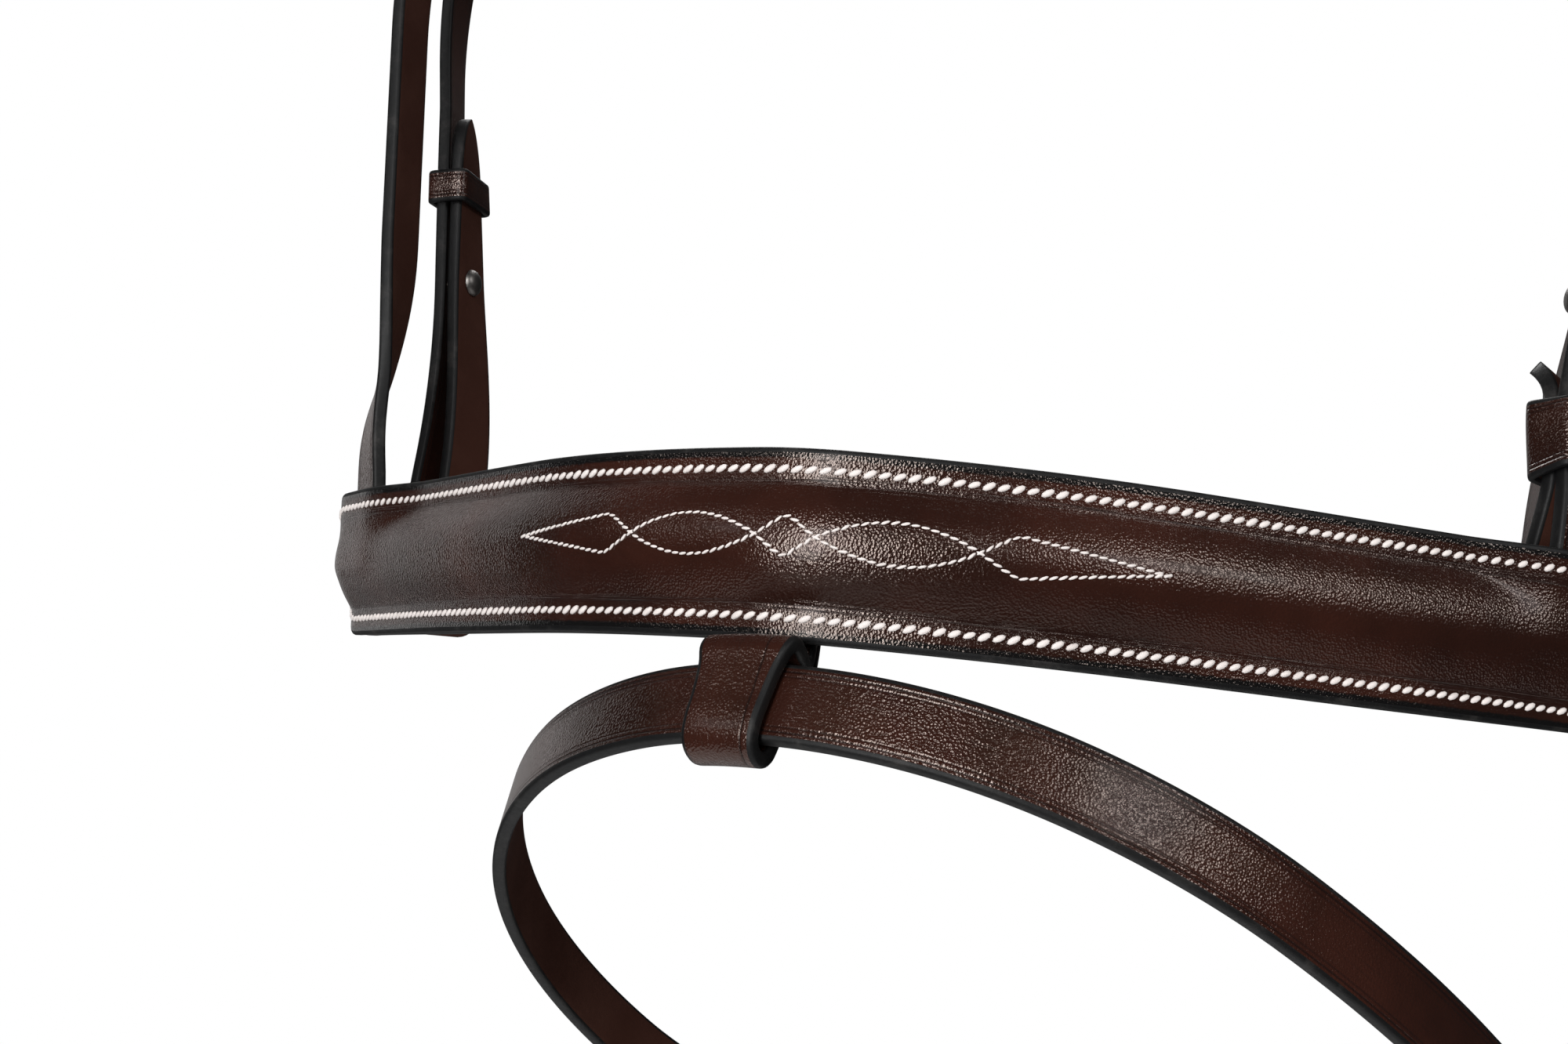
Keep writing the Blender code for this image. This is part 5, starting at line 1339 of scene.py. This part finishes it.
# The headpiece, cut in one: a wide crown that splits into two billets on each side
def addHeadpiece():
    split = sideAtZ(headpiece["splitZ"])
    halves = {"cheek": headpiece["cheekWidth"] / 2.0, "throat": headpiece["throatWidth"] / 2.0}
    lines = {"cheek": cheekLine, "throat": throatLine}
    points, values = [], []

    def crownRow(s):
        widen = 1.0 - smooth((abs(s) - headLine["pollFlat"]) / (split - headLine["pollFlat"]))
        wider = headpiece["crownFront"] - headpiece["cheekY"] + halves["cheek"]
        front = -halves["cheek"] + wider * widen
        row, facts = [], []
        for key, low, high in (("cheek", front, halves["cheek"]),
                               ("throat", -halves["throat"], halves["throat"])):
            place, along, wide, out = lines[key].frame(s)
            outer = low if key == "cheek" else high
            for w, share in zip(placesAcross(low, high), columnShares):
                inner = (w > (low + high) / 2.0) == (key == "cheek")
                row.append(place + wide * w)
                facts.append((w, strapThick * (1.0 if inner else share), abs(w - outer), 1.0))
        return row, facts

    def tailRows(hand):
        nets = []
        sign = 1 if hand == "near" else -1
        for key in ("cheek", "throat"):
            billet = headBuckles[key + "_" + hand].billetRun()
            start, first = sign * split, billet[0][0]
            rows = headpiece["tailRows"] + 1
            run = [(start + (first - start) * k / rows, 0.0, halves[key], strapThick)
                   for k in range(rows)]
            nets.append(strapNet(lines[key], run + billet))
        (a, va), (b, vb) = nets
        joined = numpy.concatenate([a, b], axis=1)[1:]
        facts = numpy.concatenate([va, vb], axis=1)[1:]
        return joined, numpy.concatenate([facts, numpy.zeros(facts.shape[:2] + (1,))], axis=2)

    for s in spread(-split, split, fits["lineStep"]):
        row, facts = crownRow(s)
        points.append(row)
        values.append(facts)
    offNet, offFacts = tailRows("off")
    nearNet, nearFacts = tailRows("near")
    net = numpy.concatenate([offNet[::-1], numpy.array(points), nearNet])
    facts = numpy.concatenate([offFacts[::-1], numpy.array(values), nearFacts])
    net, facts = refine(net, facts, fits["rowStep"])
    group = len(columnShares)

    def whole(i):  # before the split, where both halves are one
        return min(facts[i, 0, 3], facts[i + 1, 0, 3]) > 0.99

    def holds(i, j):
        return j != group - 1 or whole(i)

    def joined(i, j):
        return abs(j - group + 0.5) < group / 2.0 and whole(i)

    made = sheet("headpiece", net, facts, plainLooks, holds=holds, group=group, edgeCells=2,
                 joined=joined)
    punch(made, [hole for buckle in headBuckles.values() for hole in buckle.holes()])
    done(made, "headpiece")


def addCheekpiece(label, sign):
    buckle = headBuckles["cheek_" + label]
    half = headpiece["cheekWidth"] / 2.0
    close = strapThick + 2.0 * gap
    loop, opening, tip = [sideAtZ(cheekpiece[key]) for key in ("bitLoopZ", "bitOpenZ", "bitTipZ")]
    radius = cheekpiece["bitLoopRadius"]
    run = buckle.chapeRun()
    down = spread(abs(run[-1][0]), loop, fits["lineStep"])[1:]
    run += [(sign * s, buckle.body(sign * s), half, strapThick) for s in down]
    run += [(sign * s, n, half, strapThick) for s, n in foldArc(loop, radius)]
    back = spread(loop, tip + leather["tipLength"], fits["lineStep"])[:-1]
    for s in back + [tip + left for left in tipStops()] + [tip]:
        n = -close - (2.0 * radius - close) * smooth((s - opening) / (loop - opening))
        run.append((sign * s, n, tipHalf(half, s - tip), strapThick))
    name = "cheekpiece_" + label
    made = strap(name, cheekLine, run, looks)
    place, along, wide, out = cheekLine.frame(sign * sideAtZ(cheekpiece["bitStudZ"]))
    reach = close + strapThick
    hole = (place, along, wide, out, oval(cheekpiece["studShank"] + gap), reach)
    punch(made, [hole, buckle.chapeSlot()])
    done(made, name)
    buckle.addStitches(name, "cheek" + label)
    addStud("bit_stud_" + label, place, out, close)
    keeper("bit_keeper_" + label, cheekLine, sign * sideAtZ(cheekpiece["bitKeeperZ"]),
           cheekpiece["bitKeeperLength"], half, -close - strapThick / 2.0, strapThick / 2.0)


# A hook stud: rivet head outside, shank through both leaves, domed head inside
def addStud(name, place, out, close):
    head, height = cheekpiece["studHead"], cheekpiece["studHeadHeight"]
    shank, rivet = cheekpiece["studShank"], cheekpiece["studRivetHeight"]
    outside = strapThick / 2.0 + gap
    inside = -close - strapThick / 2.0 - gap
    profile = [(0.0, inside - height)]
    profile += [(head * math.sin(math.radians(a)), inside - height * math.cos(math.radians(a)))
                for a in (15.0, 30.0, 45.0, 60.0, 75.0, 90.0)]
    profile += [(shank, inside), (shank, outside), (head, outside)]
    profile += [(head * math.cos(math.radians(a)), outside + rivet * math.sin(math.radians(a)))
                for a in (20.0, 40.0, 60.0, 80.0, 90.0)]
    turn = out.to_track_quat("Z", "Y").to_matrix()
    ring = [(math.cos(math.tau * k / 32), math.sin(math.tau * k / 32)) for k in range(32)]
    floor = 0.02 * mm  # so that the ends stay rings
    sections = [[place + turn @ Vector((max(radius, floor) * x, max(radius, floor) * y, level))
                 for x, y in ring] for radius, level in profile]
    done(loft(name, sections, shadedStudSteel), name)


def addThroatlash():
    half = headpiece["throatWidth"] / 2.0
    near, off = headBuckles["throat_near"], headBuckles["throat_off"]
    first = near.chapeRun()
    last = [(s + throatLength, n, h, t) for s, n, h, t in off.chapeRun()[::-1]]
    middle = spread(first[-1][0], last[0][0], fits["lineStep"])[1:-1]
    between = [(s, near.body(s) + off.body(s - throatLength), half, strapThick) for s in middle]
    made = strap("throatlash", throatLine, first + between + last, looks)
    punch(made, [near.chapeSlot(), off.chapeSlot()])
    done(made, "throatlash")
    near.addStitches("throatlash", "throatNear")
    off.addStitches("throatlash", "throatOff")


def browTop(s, w):
    fade = 1.0 - smooth((abs(s) - brow.length) / browband["loopLap"])
    return crownRise(w, browband["crownHalf"], browband["crownHeight"]) * fade


def addBrowband():
    half, thick, lapRun = browband["height"] / 2.0, browband["thick"], browband["loopLap"]
    loop = brow.length + browSide
    radius = browOuter / 2.0 + (strapThick / 2.0 + gap + thick / 2.0) / 2.0
    lap = -thick - gap
    innerFront = brow.length + lapRun - gap
    fold = foldArc(loop, radius) + [(loop, -2.0 * radius), (innerFront, -2.0 * radius)]
    for share in (0.25, 0.5, 0.75, 1.0):
        n = -2.0 * radius + (2.0 * radius + lap) * smooth(share)
        fold.append((innerFront - lapRun * 0.8 * share, n))
    fold.append((brow.length - lapRun * 0.7, lap))
    outer = [(s, 0.0) for s in spread(-loop, loop, fits["lineStep"])]
    run = [(-s, n, half, thick) for s, n in fold[::-1]] + [(s, n, half, thick) for s, n in outer + fold]
    done(strap("browband_backing", browLine, run, looks), "browband_backing")
    base = thick / 2.0 + gap
    reach = brow.length + lapRun
    raised = base + browband["faceThick"]
    raisedFace("browband_face", browLine, spread(-reach, reach, noseband["faceRow"]), half,
               lambda s: half, browTop, browband["faceThick"], raised)
    for sign, label in ((1.0, "Top"), (-1.0, "Low")):
        borderRow("browbandRow" + label, "browband_face", browLine, reach,
                  lambda s: sign * (half - seams["browInset"]), browTop, raised)
    filler("browband_padding", browLine, spread(-brow.length, brow.length, fits["padStep"]), browband,
           base, base - gap)


def addFlash():
    half = flash["width"] / 2.0
    heel = flashRight.length + buckleSizes["reach"] + 2.0 * wire
    buckle = Buckle(flashLine, heel, -1, half, flash["thick"])
    addRing("flash_strap", "flash", buckle, flashLength, lambda s: half)


# The loop sewn behind the noseband's lower edge, folded forward round the flash strap
def addFlashLoop():
    seatThick, thick = flash["loopSeatThick"], flash["loopThick"]
    loopAt = flash["loopAt"]
    band, ring = noseLine.frame(loopAt), flashLine.frame(0.0)
    seat = noseband["faceThick"] + gap + noseband["backingThick"] + gap + seatThick / 2.0
    second = seat + seatThick + gap
    low = noseHalf + flash["loopSeatLow"]
    off = flash["thick"] / 2.0 + flash["loopRoom"] + thick / 2.0
    foot = -flash["width"] / 2.0 - flash["loopDrop"] + off - thick / 2.0
    top, drop, high = flash["width"] / 2.0, thick / 2.0, flash["loopSeatTop"]
    # which ground, distance out, height, and how much of the top's extra width is left
    route = [(0, -seat, high, 1.0), (0, -seat, -low, 1.0),
             (0, drop * 0.8 - seat, -low - drop * 1.7, 1.0),
             (0, drop * 2.4 - seat, -low - drop * 2.4, 1.0),
             (0.5, drop * 1.8, -low - drop * 1.4, 1.0),
             (1, off * 0.78, top + drop * 2.0, 1.0), (1, off, top + drop, 0.85),
             (1, off, top - drop, 0.45), (1, off, 0.0, 0.1), (1, off, foot, 0.0)]
    route += [(1, n, w, 0.0) for n, w in arc(0.0, foot, off, 0.0, -180.0, 6)[1:-1]]
    route += [(1, -off, foot, 0.0), (1, -off, 0.0, 0.1), (1, -off, top - drop * 0.8, 0.4),
              (0.3, drop * 3.7 - second, -low - drop * 4.7, 0.8),
              (0, drop - second, -low - drop * 3.4, 1.0), (0, -second, -low - drop, 1.0),
              (0, -second, high, 1.0)]
    points, values = [], []
    for kind, n, w, wide in route:
        ground = ring if kind == 1 else band
        spot = ground[0] + ground[3] * n + ground[2] * w
        half = flash["loopLowHalf"] + (flash["loopTopHalf"] - flash["loopLowHalf"]) * wide
        places, row = placesAcross(-half, half), []
        for across in places:
            spots = []
            for line, base, start in ((noseLine, band, loopAt), (flashLine, ring, 0.0)):
                place, along, wide, out = line.frame(start + across)
                step = spot - base[0]
                spots.append(place + out * step.dot(base[3]) + wide * step.dot(base[2]))
            row.append(spots[0].lerp(spots[1], kind))
        points.append(row)
        values.append(factsAcross(places, thick if kind else seatThick, half))
    done(sheet("flash_loop", *refine(points, values, flash["loopRow"]), loopLooks), "flash_loop")


addNoseband()
print("noseband made")
addHanger()
addCrownPad()
addHeadpiece()
print("head straps made")
for label, sign in (("near", 1), ("off", -1)):
    addCheekpiece(label, sign)
for name, buckle in headBuckles.items():
    buckle.addMetal(name)
    buckle.addKeepers(name)
addThroatlash()
addBrowband()
print("cheekpieces, throatlash and browband made")
addFlash()
addFlashLoop()
print("flash made")

studio = {
    "floorRadius": 0.4,
    "floorSides": 96,
    "floorZ": -0.75,
    "floorColor": (0.66, 0.66, 0.66),
    "floorGlow": 0.6,  # for the camera alone
    "ambient": 0.16,
    "backdrop": (-0.6, 0.8, 0.0),  # which way the pale card behind the object lies
    "card": 0.3,  # what glossy surfaces see of that card
    "cardEdge": 0.78,  # cosine of its half width
    "mirrored": 0.02,  # what they see of the room in front of the object
    "azimuth": 19.77,
    "elevation": -7.4,
    "roll": 5.874,
    "place": Vector((114.14 * mm, -408.76 * mm, -455.39 * mm)),
    "lens": 45.45,
    "clip": 0.01,
    "aim": Vector((0.0, -0.05, -0.42)),
    # azimuth, elevation, distance, width, height, watts, lean
    "lights": {
        "frontStrip": (-3.0, 4.0, 1.6, 0.40, 1.5, 27.0, 10.0),
        "overhead": (180.0, 72.0, 1.7, 1.2, 0.8, 4.2, 0.0),
        "nearHigh": (63.0, 28.0, 1.7, 0.6, 0.35, 6.5, 0.0),
        "offHigh": (-50.0, 21.0, 1.7, 0.3, 0.3, 1.5, 0.0),
        "offBack": (-120.0, 14.0, 1.8, 0.4, 1.4, 1.15, 0.0),
        "rear": (-150.0, 48.0, 1.8, 0.8, 0.8, 16.0, 0.0),
    },
}


def direction(azimuth, elevation):
    az, el = math.radians(azimuth), math.radians(elevation)
    return Vector((math.sin(az) * math.cos(el), -math.cos(az) * math.cos(el), math.sin(el)))


def lightFrom(name, azimuth, elevation, distance, width, height, watts, lean):
    away = direction(azimuth, elevation)
    data = bpy.data.lights.new(name, "AREA")
    data.shape, data.size, data.size_y, data.energy = "RECTANGLE", width, height, watts
    lamp = addObject(name, data)
    lamp.location = studio["aim"] + away * distance
    turn = away.to_track_quat("Z", "Y").to_matrix() @ Matrix.Rotation(-math.radians(lean), 3, "Z")
    lamp.rotation_euler = turn.to_euler()


def addStudio():
    sides = studio["floorSides"]
    rim = [(x, y, studio["floorZ"])
           for x, y in arc(0.0, 0.0, studio["floorRadius"], 0.0, 360.0, sides)[:-1]]
    graph = materialGraph("paleFloor")
    seen = graph.node("ShaderNodeLightPath", output="Is Camera Ray")
    pale = graph.finish(studio["floorColor"], 0.8, Emission_Color=(1.0, 1.0, 1.0, 1.0),
                        Emission_Strength=seen * studio["floorGlow"])
    floor = linkMesh("floor", rim, [tuple(range(sides))], [0], [pale])
    for name, facts in studio["lights"].items():
        lightFrom(name, *facts)
    world = bpy.data.worlds.new("studio")
    world.use_nodes = True
    bpy.context.scene.world = world
    graph = Graph(world.node_tree)
    camera, glossy, through = [graph.node("ShaderNodeLightPath", output=label) for label in
                               ("Is Camera Ray", "Is Glossy Ray", "Is Transmission Ray")]
    toward = graph.node("ShaderNodeTexCoord", output="Generated")
    behind = graph.node("ShaderNodeVectorMath", {"operation": "DOT_PRODUCT"},
                        {0: toward, 1: studio["backdrop"]}, "Value").band(studio["cardEdge"], 1.0)
    room = behind * (studio["card"] - studio["mirrored"]) + studio["mirrored"]
    strength = camera * (1.0 - studio["ambient"]) + studio["ambient"] \
        + (glossy + through) * (room - studio["ambient"])
    sky = graph.node("ShaderNodeBackground", {}, {"Color": (1.0, 1.0, 1.0, 1.0), "Strength": strength})
    out = graph.nodes.new("ShaderNodeOutputWorld")
    graph.links.new(sky.socket, out.inputs["Surface"])


def addCamera():
    az, roll = math.radians(studio["azimuth"]), math.radians(studio["roll"])
    back = direction(studio["azimuth"], studio["elevation"])
    right = Vector((math.cos(az), math.sin(az), 0.0))
    up = back.cross(right)
    first = right * math.cos(roll) + up * math.sin(roll)
    second = up * math.cos(roll) - right * math.sin(roll)
    data = bpy.data.cameras.new("photo")
    data.lens = studio["lens"]
    data.clip_start = studio["clip"]
    camera = addObject("photo", data)
    camera.matrix_world = Matrix([*zip(first, second, back, studio["place"]), (0.0, 0.0, 0.0, 1.0)])
    bpy.context.scene.camera = camera
    bpy.context.scene.view_settings.view_transform = "Standard"


addStudio()
addCamera()
print("scene made")
